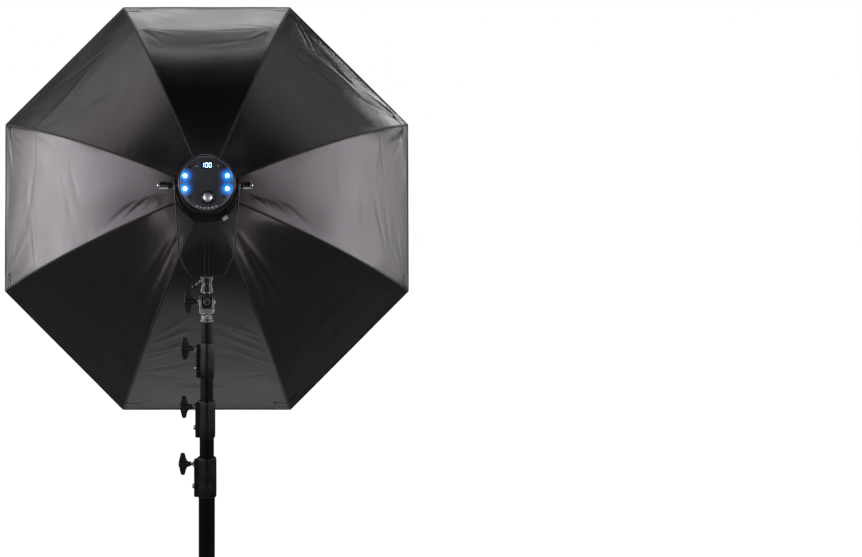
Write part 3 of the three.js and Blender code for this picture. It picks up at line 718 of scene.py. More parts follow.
def tripod():
    pivot = spoke_point("leg_1_fold")
    hub = spoke_point("brace_1_fold")
    leg_collar(pivot)
    brace_hub(hub)
    down = Vector((FOOT_REACH - pivot.x, 0, -pivot.z))
    ahead = down.normalized()
    length = down.length
    brace_run = pivot + ahead * BRACE_ALONG_LEG - hub
    lean = Matrix.Rotation(math.atan2(ahead.x, -ahead.z), 4, "Y").inverted()
    rise = math.atan2(brace_run.z, brace_run.x)
    for i, azimuth in enumerate(LEG_AZIMUTHS, 1):
        frame_of_leg = spoke(azimuth) @ Matrix.Translation(pivot) @ lean
        bm = bmesh.new()
        turned(bm, [(0, 9), (7.5, 9), (9.5, 7), (9.5, 34 - length), (0, 34 - length)], frame_of_leg, 48)
        node_piece(f"leg_{i}", bm, "tube", bevel=0.6)
        bm = bmesh.new()
        grip = [(0, 36 - length), (10.6, 36 - length), (11.6, 34 - length)]
        for ring in range(3):
            step = 30 - ring * 5 - length
            grip += [(11.9, step + 1.5), (11.0, step), (11.0, step - 1.5), (11.9, step - 3)]
        turned(bm, grip + [(12, 12 - length), (12, -22 - length), (0, -22 - length)], frame_of_leg, 48)
        cut = bmesh.ops.bisect_plane(bm, geom=bm.verts[:] + bm.edges[:] + bm.faces[:],
                                     plane_co=(0, 0, 0.0001), plane_no=(0, 0, -1), clear_outer=True)
        rim = [part for part in cut["geom_cut"] if isinstance(part, bmesh.types.BMEdge)]
        bmesh.ops.contextual_create(bm, geom=rim)
        node_piece(f"foot_{i}", bm, "rubber", bevel=0.5)
        frame_of_brace = (spoke(azimuth) @ Matrix.Translation(hub) @ Matrix.Rotation(-rise, 4, "Y")
                          @ TURN_X)
        bar = arc(brace_run.length, 0, 7, -90, 90, 10) + arc(0, 0, 7, 90, 270, 10)
        bm = bmesh.new()
        prism(bm, bar, -13.3, -10.3, frame_of_brace)
        prism(bm, [(16, -2.2), (brace_run.length - 16, -2.2), (brace_run.length - 16, 2.2), (16, 2.2)],
              -14.2, -13.2, frame_of_brace)
        node_piece(f"brace_{i}", bm, "tube", bevel=0.5)
        bm = bmesh.new()
        pin(bm, frame_of_brace @ shift(brace_run.length, 0, -12), 3.4, 2.6, 4.6)
        piece(f"brace_{i}_rivet", bm, "chrome", f"brace_{i}", slot="chrome")


# ------------------------------------------------------------------ bracket and yoke
YOKE_ARM = 71.7                 # from the lamp's axis to the middle of a yoke arm
YOKE_DROP = 205.0               # lamp tilt axis down to the yoke's flat bottom
BACK_OF_BRACKET = IN_BRACKET @ shift(0, -11.2, 0) @ TURN_X


def receiver():
    """Receiver with its socket, cheeks and screws."""
    bottom = joint_point("receiver_pan").z / MM - joint_point("bracket_tilt").z / MM
    side_on = IN_BRACKET @ Matrix(((0, 0, 1, 0), (1, 0, 0, 0), (0, 1, 0, 0), (0, 0, 0, 1)))
    bm = bmesh.new()
    cheek = [(-15.5, -18), (15.5, -18)] + arc(0, 0, 15.5, 0, 180, 20)
    for side in (-1, 1):
        prism(bm, cheek, side * 14.6 - 2.6, side * 14.6 + 2.6, side_on)
    prism(bm, rounded_box(-17, 17, -15.5, 15.5, 3), -25, -14.5, IN_BRACKET)
    turned(bm, [(8.3, bottom), (15, bottom), (15.6, bottom + 1.4), (15.6, bottom + 5), (13.4, bottom + 8),
                (13.4, -30), (15.4, -28), (15.4, -24), (0, -24), (0, -26), (8.3, -26), (8.3, bottom)],
           IN_BRACKET, 64)
    node_piece("receiver", bm, "casting", bevel=1.1)
    bm = bmesh.new()
    turned(bm, [(0, 0), (2.6, 0), (2.6, 1.4), (1.6, 2.4), (0, 2.4)],
           IN_BRACKET @ shift(2, -13, bottom + 16) @ TURN_X, 28)
    turned(bm, [(0, 0), (4.6, 0), (5.4, 0.8), (5.0, 2.6), (0, 3.2)],
           IN_BRACKET @ shift(17, 0, 0) @ TURN_Y, 6)
    piece("receiver_screws", bm, "chrome", "receiver", slot="chrome", bevel=0.3)
    clamp_knob("tilt_knob")


def neck():
    """Tilting neck between the receiver's cheeks, up to the yoke."""
    bm = bmesh.new()
    along_x = IN_BRACKET @ TURN_Y
    turned(bm, [(0, -11.6), (7, -11.6), (10, -9.5), (12.4, -5), (13, 0), (12.4, 5), (10, 9.5), (7, 11.6),
                (0, 11.6)], along_x, 56)
    block(bm, -9, 9, -9, 9, 3, 24, IN_BRACKET)
    piece("neck_drum", bm, "dark_casting", "yoke", slot="cast_metal", bevel=1.2)
    bm = bmesh.new()
    turned(bm, [(5.6, -3), (5.6, 0.3), (6.4, 0.9), (7.9, 0.9), (8.5, 0.2), (8.5, -3), (5.6, -3)],
           BACK_OF_BRACKET, 48)
    piece("socket_ring", bm, "casting", "yoke", slot="cast_metal", bevel=0.2)
    # A dark disc inside the socket ring: painted shade for the umbrella hole.
    bm = bmesh.new()
    turned(bm, [(0, -1.6), (5.5, -1.6), (5.5, -3), (0, -3)], BACK_OF_BRACKET, 40)
    piece("socket_hole_painted_shade", bm, "hole", "yoke", slot="cast_metal")
    top = (LAMP_AXIS.z - joint_point("bracket_tilt").z) / MM - YOKE_DROP - 2.6
    bm = bmesh.new()
    foot, waist, flare = 20.5, 10.8, 3.2
    half = [(14, foot)]
    for h in np.linspace(foot, top, 15)[1:-1]:
        half.append((waist + flare * abs(math.cos(math.pi * (h - foot) / (top - foot))) ** 1.4, h))
    half.append((14, top))
    outline = half + [(-x, z) for x, z in reversed(half)]
    front_on = IN_BRACKET @ TURN_X
    prism(bm, outline, -12.5, 12.5, front_on)
    node_piece("neck", bm, "casting", bevel=1.6)
    bm = bmesh.new()
    recess = rounded_box(-5.2, 5.2, 23, top - 2.5, 3)
    prism(bm, recess, 11.6, 12.9, front_on)
    prism(bm, recess, -12.9, -11.6, front_on)
    piece("neck_recess", bm, "dark_casting", "yoke", slot="cast_metal", bevel=0.4)
    bm = bmesh.new()
    for x in (-5.4, 5.6):
        turned(bm, [(0, 0), (2.4, 0), (2.4, 1), (1.5, 2.1), (0, 2.4)],
               IN_BRACKET @ shift(x, -12.6, 21.4) @ TURN_X, 28)
    turned(bm, [(4.4, -0.4), (6, -0.4), (6.4, 0.3), (6, 1.2), (4.4, 1.2), (4.4, -0.4)],
           IN_BRACKET @ shift(0, -12.6, 38) @ TURN_X, 40)
    piece("neck_fittings", bm, "chrome", "yoke", slot="chrome", bevel=0.2)


def umbrella_screw():
    """Thumbscrew that would hold an umbrella's shaft in the neck."""
    inward = -joint_axis("umbrella_screw_turn")
    screw = basis(joint_point("umbrella_screw_turn"), inward, Y, inward.cross(Y))
    bm = bmesh.new()
    down_line = screw @ TURN_Y
    ridges = [(0, -1), (2, -1)]
    for i in range(5):
        ridges += [(2.1, i * 1.2), (1.7, i * 1.2 + 0.6)]
    turned(bm, ridges + [(3.1, 6.4), (3.3, 8.2), (2.1, 9), (1.9, 16), (0, 16)], down_line, 28)
    prism(bm, rounded_box(14, 24, -3.6, 3.6, 3), -1.3, 1.3, screw @ TURN_X)
    node_piece("umbrella_screw", bm, "chrome", bevel=0.3)


def yoke():
    """U-shaped strip bent round the lamp, with a round end at each side knob."""
    bm = bmesh.new()
    bend = [(YOKE_ARM, 4), (YOKE_ARM, -20), (70.2, -48), (67.8, -88), (65.2, -128), (63.2, -152),
            (59.5, -168), (54, -180), (47.5, -192), (42, -200.5), (36, -204.4), (28, -YOKE_DROP),
            (0, -YOKE_DROP)]
    line = bend + [(-x, z) for x, z in reversed(bend[:-1])]
    path = [IN_YOKE @ Vector((x, 0, z)) for x, z in line]
    half_width, half_strip = 12.0 * MM, 2.2 * MM
    swept(bm, path, [(-half_width, -half_strip), (half_width, -half_strip),
                     (half_width, half_strip), (-half_width, half_strip)], Y)
    for side in (-1, 1):
        disc = IN_YOKE @ shift(side * YOKE_ARM, 0, 4) @ TURN_Y
        turned(bm, [(0, -2.2), (12, -2.2), (12, 2.2), (0, 2.2)], disc, 48)
    node_piece("yoke", bm, "yoke", bevel=0.9)


def side_knobs():
    for side, node in ((-1, "side_knob_left"), (1, "side_knob_right")):
        near, far = (88, 113) if side < 0 else (82, 105)    # the grip's two ends
        out = IN_YOKE @ Matrix.Rotation(side * math.pi / 2, 4, "Y")
        bm = bmesh.new()
        turned(bm, [(0, 74.4), (8, 74.4), (8.2, 75), (8, 76.6), (4.6, 77), (4.5, near - 0.6), (7.8, near),
                    (8.8, near + 0.8), (8.8, far - 5), (8.2, far - 4.4), (8.2, far - 3.6), (8.8, far - 3),
                    (8.6, far - 1.2), (7.2, far), (0, far)], out, 56)
        node_piece(node, bm, "chrome", bevel=0.25)
        bm = bmesh.new()
        turned(bm, [(4.7, 76.9), (6.6, 76.9), (6.6, near - 0.3), (4.7, near - 0.3), (4.7, 76.9)], out, 48)
        piece(node + "_neck", bm, "knob", BODY_OF[node], slot="knob_plastic", bevel=0.3)


# ------------------------------------------------------------------ lamp
PANEL_REAR = -57.0              # rear panel's face, from the lamp's tilt axis
LAMP_FORWARD = IN_LAMP @ Z_TO_FORWARD
PANEL_FACE = IN_LAMP @ shift(0, PANEL_REAR, 0) @ TURN_X
SCREEN_HEIGHT = 40.0            # screen's middle above the panel's middle
SCREWS = ((-38, 36), (38, 36), (-38, -31), (38, -31))
SEGMENTS = {"1": "bc", "0": "abcdef"}


def digit(bm, character, x, z, width, height, place):
    """Seven-segment digit, its bars as thin raised strips."""
    bar = 0.14 * height
    spots = {
        "a": (0, height / 2, True), "d": (0, -height / 2, True), "g": (0, 0, True),
        "b": (width / 2, height / 4, False), "c": (width / 2, -height / 4, False),
        "f": (-width / 2, height / 4, False), "e": (-width / 2, -height / 4, False),
    }
    for name in SEGMENTS[character]:
        cx, cz, flat = spots[name]
        half_x = width / 2 - bar * 0.3 if flat else bar / 2
        half_z = bar / 2 if flat else height / 4 - bar * 0.3
        cx, cz = x + cx, z + cz
        strip = rounded_box(cx - half_x, cx + half_x, cz - half_z, cz + half_z, bar * 0.35)
        prism(bm, strip, 0.2, 0.45, place)


def panel_uv(bm):
    """Gives each corner its place on the lamp's rear face, in metres."""
    layer = bm.loops.layers.uv.verify()
    flat = PANEL_FACE.inverted()
    for part in bm.faces:
        for loop in part.loops:
            loop[layer].uv = (flat @ loop.vert.co).xy * MM


def lamp_shell():
    """Housing with two grooves round it, a boss for each side knob, and its vents as dark strips of painted
    shade.
    """
    bm = bmesh.new()
    turned(bm, [
        (40, 88), (59, 88), (61.5, 86.5), (64.4, 80), (65, 77), (65, 52), (64.2, 51), (64.2, 48.6),
        (65, 47.6), (65, -30), (64.2, -31), (64.2, -33.4), (65, -34.4), (65, -52), (64.2, -56),
        (62.6, -58.6), (61.9, -58.6), (61.9, -50), (61.9, 78), (58, 84), (40, 84), (40, 88),
    ], LAMP_FORWARD, 96)
    for side in (-1, 1):
        out = IN_LAMP @ Matrix.Rotation(side * math.pi / 2, 4, "Y")
        turned(bm, [(0, 60), (13.5, 60), (12.4, 66), (12, 68.2), (11, 69.1), (0, 69.1)], out, 48)
    node_piece("lamp_housing", bm, "shell", bevel=0.5)

    # Dark strips on the shell: painted shade for the vents' slots.
    bm = bmesh.new()
    for z_row in (-1, 1):
        for i in range(-6, 7):
            angle = math.radians(90 * z_row + i * 6.2)
            spot = IN_LAMP @ Matrix.Rotation(-angle, 4, "Y")
            block(bm, 64.4, 65.25, 4, 30, -2.0, 2.0, spot)
    piece("lamp_vents_painted_shade", bm, "hole", "lamp", slot="lamp_shell", bevel=0.5)


def rear_panel():
    """Panel with its bright rim, printed marks, screen, small lamps and screws."""
    bm = bmesh.new()
    turned(bm, [(0, 1.6), (20, 1.5), (45, 0.8), (57, -0.3), (60.6, -1.6), (61.6, -4.5), (0, -4.5)],
           PANEL_FACE, 96)
    panel_uv(bm)
    node_piece("rear_panel", bm, "panel", bevel=0.4)
    bm = bmesh.new()
    turned(bm, [(58.0, -0.4), (58.7, 0.5), (60.2, 0.4), (61.2, -1.4), (58.0, -2), (58.0, -0.4)],
           PANEL_FACE, 96)
    panel_uv(bm)
    piece("rear_bezel", bm, "bezel", "lamp", slot="lamp_shell")
    bm = bmesh.new()
    for i in range(-3, 3):
        spot = PANEL_FACE @ Matrix.Rotation(math.radians(-86 + i * 9), 4, "Z")
        prism(bm, rounded_box(54.6, 57.6, -2.7, 2.7, 1.2), -1.6, 0.9, spot)
    piece("rear_marks", bm, "satin", "lamp", slot="gloss_panel", bevel=0.2)

    low, high = SCREEN_HEIGHT - 8, SCREEN_HEIGHT + 8
    bm = bmesh.new()
    prism(bm, rounded_box(-13.5, 13.5, low, high, 2), -1.5, 1.25, PANEL_FACE)
    node_piece("display_window", bm, "window", bevel=0.4)
    bm = bmesh.new()
    prism(bm, rounded_box(-11.6, 11.6, low + 1.7, high - 1.7, 1), 1.2, 1.4, PANEL_FACE)
    piece("display_screen", bm, "screen", "lamp", slot="screen")
    bm = bmesh.new()
    lifted = PANEL_FACE @ shift(0, 0, 1.25)
    for character, x in (("1", -9.4), ("0", -0.6), ("0", 7.6)):
        digit(bm, character, x, SCREEN_HEIGHT, 5.2, 10.0, lifted)
    piece("display_digits", bm, "digits", "lamp", slot="screen")

    bm = bmesh.new()
    for x, z in LEDS:
        turned(bm, [(0, 3.6), (1.8, 3.4), (3.3, 2.7), (4.2, 1.4), (4.2, -1.5), (0, -1.5)],
               PANEL_FACE @ shift(x, z, 0), 36)
    piece("led_lenses", bm, "led", "lamp", slot="screen")
    bm = bmesh.new()
    for x, z in SCREWS:
        turned(bm, [(0, 0.2), (1.9, 0.2), (2.1, 1.1), (3.9, 1.4), (4.2, 0.6), (4.2, -1), (0, -1)],
               PANEL_FACE @ shift(x, z, 0), 32)
    piece("panel_screws", bm, "dark_casting", "lamp", slot="cast_metal")


def lamp_controls():
    """Dial with its knurled edge and bright cap, and the two push buttons."""
    dial = basis(joint_point("dial_turn"), X, FORWARD, HEAD_UP) @ TURN_X
    bm = bmesh.new()
    points = 72
    knurl = []
    for i in range(points):
        radius = 15.2 + 0.45 * (i % 2)
        knurl.append((radius * math.cos(TAU * i / points), radius * math.sin(TAU * i / points)))
    prism(bm, knurl, 1.6, 7.6, dial)
    turned(bm, [(0, 0.5), (15.0, 0.5), (15.4, 1.6), (15.4, 2.0), (0, 2.0)], dial, 72)
    turned(bm, [(0, 7.4), (14.8, 7.4), (13.2, 9.3), (0, 9.4)], dial, 72)
    node_piece("dial", bm, "knob", bevel=0.25)
    bm = bmesh.new()
    turned(bm, [(0, 8.6), (10.4, 8.6), (10.2, 9.8), (9.2, 10.8), (7.2, 11.7), (4.2, 12.3), (0, 12.5)],
           dial, 72)
    piece("dial_cap", bm, "satin", "dial", slot="dial_metal")
    for side in ("left", "right"):
        node = f"button_{side}"
        low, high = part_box(node)
        centre = (low + high) / 2
        bm = bmesh.new()
        spot = basis(centre, X, FORWARD, HEAD_UP) @ TURN_X
        turned(bm, [(0, 6.0), (1.4, 6.0), (2.4, 5.6), (2.9, 4.6), (2.9, -4.5), (0, -4.5)], spot, 36)
        node_piece(node, bm, "casting", bevel=0.15)


def lamp_front():
    """Insert ring that the softbox locks on, and the frosted dome inside it."""
    bm = bmesh.new()
    turned(bm, [(48, 88.4), (60, 88.4), (60, 108), (58.6, 109), (49.4, 109), (48, 108), (48, 88.4)],
           LAMP_FORWARD, 96)
    node_piece("insert_ring", bm, "dark_casting", bevel=0.5)
    bm = bmesh.new()
    turned(bm, [(0, 78.4), (36, 78.4), (36, 117)] + [
        (36 * math.cos(a), 117 + 35 * math.sin(a)) for a in np.linspace(0.1, math.pi / 2 - 0.001, 14)
    ] + [(0, 152)], LAMP_FORWARD, 72)
    node_piece("glass_dome", bm, "glass")


# ------------------------------------------------------------------ softbox shape
RIBS = 8
STEP = TAU / RIBS
RIM = 609.6                     # axis to a rim corner
DEPTH = 520.0
HINGE = 70.0                    # axis to a rib's hinge
SWELL = 2.2                     # power of the rib's curve
CLOTH_START = 76.5              # radius where the cloth starts, at the ring
ROUND_UNTIL = 200.0             # inside this radius the panels turn from flat to round
SAG = 9.0                       # how far the middle of a panel hangs inside the rib's curve
ALONG, ACROSS = ((150, 56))

# Panels are numbered round the axis from the upper right one: 1 is the top, 3 is on the left,
# 5 is the bottom and 7 is on the right.
TOP = 1
BOTTOM = 5
HUB_FOLDS = {4: 1, 6: -1}       # panels with folds that run out from the ring, and their side
GATHERS = {3: 1, 7: -1}         # panels with small folds below a side knob, and their side
CREASE = 262.0                  # cloth between the rim and the soft crease across each panel
CREASE_FADE = 120.0             # cloth over which the crease dies away toward the ring
CREASE_RISE = (4.0, 7.0, 4.0, 2.0, 3.0, 3.0, 3.0, 2.0)

FRONT_RADIUS = 577.0
FRONT_DEPTH = 480.0             # from the ring's rear plane to the front cloth


def swell_depth(radius):
    return DEPTH * (np.maximum(radius - HINGE, 0) / (RIM - HINGE)) ** SWELL


def roundness(radius):
    """0 where the panels are flat between the ribs, 1 at the ring, where they are round."""
    share = np.clip((ROUND_UNTIL - radius) / (ROUND_UNTIL - CLOTH_START), 0, 1)
    return share * share * (3 - 2 * share)


def meridian(count):
    """Radii and depths spaced evenly along the rib's curve, and the distance left to the rim."""
    radii = np.linspace(CLOTH_START, RIM, 2000)
    depths = swell_depth(radii)
    run = np.concatenate([[0], np.cumsum(np.hypot(np.diff(radii), np.diff(depths)))])
    even = np.linspace(0, run[-1], count + 1)
    return np.interp(even, run, radii), np.interp(even, run, depths), run[-1] - even


def ridge(along, across, start, end, width, height):
    """A soft fold of cloth from start to end, in millimetres over the panel's flat shape."""
    start, end = np.array(start, float), np.array(end, float)
    run = end - start
    length = np.hypot(*run)
    t = ((along - start[0]) * run[0] + (across - start[1]) * run[1]) / length ** 2
    off = ((along - start[0]) * run[1] - (across - start[1]) * run[0]) / length
    inside = np.clip(t, 0, 1)
    fade = np.sin(math.pi * inside ** 0.7)
    spread = width * (0.45 + 0.9 * inside)
    return height * fade * np.exp(-(off / spread) ** 2) * ((t > 0) & (t < 1))


def ripple(along, across, seed, size):
    """Smooth seeded noise from a few sine waves, from -1 to 1."""
    draw = random.Random(seed)
    total = np.zeros_like(along)
    for _ in range(7):
        angle = draw.uniform(0, math.pi)
        period = size * draw.uniform(0.6, 1.8)
        total += np.sin((along * math.cos(angle) + across * math.sin(angle)) * TAU / period
                        + draw.uniform(0, TAU))
    return total / 4.0


def panel_folds(index, to_rim, across, half_width):
    """How far the cloth of one panel stands out of its smooth shape, in millimetres."""
    draw = random.Random(100 + index)
    total_run = to_rim.max()
    lift = np.zeros_like(to_rim)
    side = np.clip(half_width - np.abs(across), 0, None)
    edge = 1 - np.exp(-side / 11.0)
    corner_across = RIM * math.sin(STEP / 2)
    for corner in (-1, 1):
        for _ in range(6):
            angle = math.radians(draw.uniform(14, 74))
            reach = draw.uniform(90, 280)
            start = (draw.uniform(4, 40), corner * (corner_across - draw.uniform(6, 30)))
            end = (start[0] + reach * math.sin(angle), start[1] - corner * reach * math.cos(angle))
            lift += ridge(to_rim, across, start, end, draw.uniform(5, 11), draw.uniform(-1.8, 1.9))
        for _ in range(5):
            angle = math.radians(draw.uniform(-30, 66))
            reach = draw.uniform(70, 210)
            start = (CREASE + draw.uniform(-8, 8), corner * (0.78 * corner_across - draw.uniform(0, 6)))
            end = (start[0] + reach * math.sin(angle), start[1] - corner * reach * math.cos(angle))
            lift += ridge(to_rim, across, start, end, draw.uniform(4, 8), draw.uniform(-1.7, 1.4))
    for k in range(5 if index in HUB_FOLDS else 0):
        spot = HUB_FOLDS[index] * (0.42 + 0.12 * k + draw.uniform(-0.03, 0.03))
        start = (total_run - draw.uniform(20, 90), spot * 38)
        end = (total_run - draw.uniform(330, 520), spot * 38 * draw.uniform(3.5, 4.1))
        lift += ridge(to_rim, across, start, end, draw.uniform(9, 16), draw.uniform(0.7, 1.6) * (-1) ** k)
    for k in range(4 if index == BOTTOM else 0):
        for side_of in (-1, 1):
            start = (315 + 38 * k + draw.uniform(-12, 12), side_of * (172 - 14 * k))
            end = (start[0] + draw.uniform(50, 95), side_of * draw.uniform(12, 40))
            lift += ridge(to_rim, across, start, end, draw.uniform(6, 11), draw.uniform(1.4, 2.8))
    for k in range(6 if index in GATHERS else 0):
        down = GATHERS[index]
        start = (total_run - 26 - 21 * k, down * (10 + 4 * k + draw.uniform(-4, 4)))
        end = (total_run - 72 - 29 * k, down * (52 + 10 * k + draw.uniform(-5, 5)))
        lift += ridge(to_rim, across, start, end, draw.uniform(5, 8), draw.uniform(0.9, 1.6))
    for _ in range(5):
        start = (draw.uniform(120, 460), draw.uniform(-130, -20))
        end = (start[0] + draw.uniform(-90, 90), start[1] + draw.uniform(110, 230))
        height = draw.uniform(-2.6, 2.2) * (0.2 if index == TOP else 1.0)
        lift += ridge(to_rim, across, start, end, draw.uniform(9, 20), height)
    pucker = ripple(to_rim, across * 0.35, 300 + index, 26.0) * np.exp(-side / 22.0) * 0.55
    broad = ripple(to_rim, across, 400 + index, 210.0) * 1.3
    hub_fade = np.clip((total_run - to_rim) / 40.0, 0, 1)
    rim_fade = np.clip(to_rim / 30.0, 0.15, 1)
    return (lift + pucker + broad) * edge * hub_fade * rim_fade


def panel_grid(index, columns):
    """Points of a whole panel, from rib index to the next rib, as (rows, columns, 3) in hub
    millimetres, with each point's across and to-rim distances."""
    radii, depths, to_rim = meridian(ALONG)
    share = np.linspace(0, 1, columns)
    a0, a1 = (index + 0.5) * STEP, (index + 1.5) * STEP
    first = np.array([math.cos(a0), math.sin(a0)])
    last = np.array([math.cos(a1), math.sin(a1)])
    chord = first[None, :] * (1 - share[:, None]) + last[None, :] * share[:, None]
    angle = a0 + (a1 - a0) * share
    round_line = np.stack([np.cos(angle), np.sin(angle)], 1)
    blend = roundness(radii)[:, None, None]
    flat = radii[:, None, None] * (chord[None] * (1 - blend) + round_line[None] * blend)
    half = radii[:, None] * math.sin(STEP / 2)
    across = half * (2 * share[None, :] - 1)
    depth = np.repeat(depths[:, None], columns, 1)
    points = np.stack([flat[..., 0], depth, flat[..., 1]], -1)
    along_v = np.gradient(points, axis=0)
    across_v = np.gradient(points, axis=1)
    normal = np.cross(along_v, across_v)
    normal /= np.linalg.norm(normal, axis=-1, keepdims=True)
    if normal[..., 1].mean() > 0:
        normal = -normal
    run = np.repeat(to_rim[:, None], columns, 1)
    total = to_rim.max()
    bell = np.sin(math.pi * np.clip((total - run) / total, 0, 1)) ** 1.2
    sag = -SAG * bell * np.sin(math.pi * share)[None, :] ** 1.3
    fall = np.clip((CREASE + CREASE_FADE - run) / CREASE_FADE, 0, 1) ** 1.25
    crease = np.where(run < CREASE, run / CREASE, fall)
    crease = CREASE_RISE[index] * crease * np.clip(4.0 * np.sin(math.pi * share), 0, 1)[None, :]
    lift = sag + crease + panel_folds(index, run, across, np.repeat(half, columns, 1))
    return points + normal * lift[..., None], across, run, normal


def grid_mesh(bm, points, uv, beyond=None, split=0):
    """Adds a grid of row-frame points as quads with metric UVs. Columns past the split take
    their UVs from beyond, so that a seam in the cloth breaks its pattern cleanly."""
    layer = bm.loops.layers.uv.verify()
    rows, columns = points.shape[:2]
    verts = [[bm.verts.new(points[i, j]) for j in range(columns)] for i in range(rows)]
    for i in range(rows - 1):
        for j in range(columns - 1):
            spots = [(i, j), (i + 1, j), (i + 1, j + 1), (i, j + 1)]
            face = bm.faces.new([verts[a][b] for a, b in spots])
            chart = uv if beyond is None or j < split else beyond
            for loop, (a, b) in zip(face.loops, spots):
                loop[layer].uv = chart[a, b]


def to_world(points, place):
    flat = points.reshape(-1, 3)
    matrix = np.array(place)
    return (flat @ matrix[:3, :3].T + matrix[:3, 3]).reshape(points.shape)


def open_sheet(name, bm, looks, body, nodes, thickness):
    """A cloth piece from an open grid, with the last of its looks on the inner side. Its border
    edges are sharp so that two pieces that meet shade as one."""
    for edge in bm.edges:
        edge.smooth = not edge.is_boundary
    obj = mesh_object(name, bm, [LOOK[look] for look in looks])
    for polygon in obj.data.polygons:
        polygon.use_smooth = True
    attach(obj, body)
    if nodes:
        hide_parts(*nodes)
    modifier = obj.modifiers.new("thickness", "SOLIDIFY")
    modifier.thickness = thickness * MM
    modifier.offset = -1.0
    modifier.material_offset = len(looks) - 1
    modifier.use_even_offset = False
    return obj


def rib_side(index):
    """Directions at a rib: away from the axis, and round the axis."""
    angle = (index + 0.5) * STEP
    out = (X * math.cos(angle) + HEAD_UP * math.sin(angle)).normalized()
    return out, joint_axis(f"rib_{index + 1}_fold")


def squash_with_rib(obj):
    """Gives a piece its own copy of its mesh."""
    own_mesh(obj)


def rib_line(inset, count, start=0.0, end=1.0):
    """Points of a rib's curve in its own plane, moved inward, as [radius, depth]."""
    radii, depths, _ = meridian(400)
    slope = np.gradient(depths, radii)
    length = np.hypot(1, slope)
    line = np.stack([radii - inset * slope / length, depths + inset / length], 1)
    chosen = np.linspace(start * 400, end * 400, count)
    return np.stack([np.interp(chosen, np.arange(401), line[:, k]) for k in (0, 1)], 1)


def wall_panels():
    columns = ACROSS + 1
    grids = [panel_grid(i, columns) for i in range(RIBS)]
    middle = ACROSS // 2
    for i in range(RIBS):
        before, after = grids[i - 1], grids[i]
        points = np.concatenate([before[0][:, middle:], after[0][:, 1:middle + 1]], 1)
        across = before[1][:, middle:]
        width = np.concatenate([across, across[:, -1:] * 2 + after[1][:, 1:middle + 1]], 1)
        beyond = np.concatenate([across - across[:, -1:] * 2, after[1][:, 1:middle + 1]], 1)
        run = np.concatenate([before[2][:, middle:], after[2][:, 1:middle + 1]], 1)
        bm = bmesh.new()
        grid_mesh(bm, to_world(points, IN_HUB), np.stack([width, run], -1) * MM,
                  np.stack([beyond, run], -1) * MM, middle)
        obj = open_sheet(f"wall_cloth_{i + 1}", bm, ["nylon", "lining"], f"rib_{i + 1}",
                         [f"wall_panel_{i + 1}"], 0.6)
        squash_with_rib(obj)
        softbox_trim(i, grids)


def softbox_trim(i, grids):
    """Rib rod, seam tape, rim binding and corner pocket of one rib."""
    out, around = rib_side(i)

    def at(radius, depth):
        return HUB + out * radius * MM + FORWARD * depth * MM

    body = f"rib_{i + 1}"
    bm = bmesh.new()
    rod = [at(70, 6.8)] + [at(r, w) for r, w in rib_line(6.8, 40, 0.012, 0.985)]
    swept(bm, rod, circle(3 * MM, 12), around)
    barrel = basis(at(70, 6.8), out, FORWARD, around)
    turned(bm, [(0, -4), (4, -4), (4, 4), (0, 4)], barrel, 28)
    piece(f"{body}_rod", bm, "rod", body, [body])

    bm = bmesh.new()
    tape = [at(r, w) for r, w in rib_line(-0.2, 70, 0.004, 1.0)]
    low_arch = [(-2.7, -0.8), (2.7, -0.8), (2.7, 0.2), (1.9, 0.7), (0.8, 1.1), (-0.8, 1.1), (-1.9, 0.7),
                (-2.7, 0.2)]
    side = around if (tape[1] - tape[0]).cross(around).dot(FORWARD) < 0 else -around
    swept(bm, tape, [(a * MM, o * MM) for a, o in low_arch], side, uv=True)
    piece(f"{body}_seam_tape", bm, "webbing", body, slot="black_nylon", sharp=60)

    before, after = grids[i - 1], grids[i]
    middle = ACROSS // 2
    rim_points = np.concatenate([before[0][-1, middle:], after[0][-1, 1:middle + 1]], 0)
    edge = [Vector(p) for p in to_world(rim_points, IN_HUB)]
    bm = bmesh.new()
    swept(bm, edge, circle(2.1 * MM, 10), FORWARD, uv=True)
    binding = piece(f"{body}_rim_binding", bm, "webbing", body, slot="black_nylon", sharp=80)
    squash_with_rib(binding)

    rows = max(4, int(ALONG * 0.075))
    reach = max(3, int(ACROSS * 0.09))
    patch = np.concatenate([before[0][-rows:, -reach - 1:], after[0][-rows:, 1:reach + 1]], 1)
    normal = np.concatenate([before[3][-rows:, -reach - 1:], after[3][-rows:, 1:reach + 1]], 1)
    width = np.concatenate([before[1][-rows:, -reach - 1:] - before[1][-rows:, -1:],
                            after[1][-rows:, 1:reach + 1] - after[1][-rows:, :1]], 1)
    run = np.concatenate([before[2][-rows:, -reach - 1:], after[2][-rows:, 1:reach + 1]], 1)
    bm = bmesh.new()
    grid_mesh(bm, to_world(patch + normal * 1.0, IN_HUB), np.stack([width, run], -1) * MM)
    pocket = open_sheet(f"{body}_corner_pocket", bm, ["nylon"], body, [], 0.9)
    squash_with_rib(pocket)


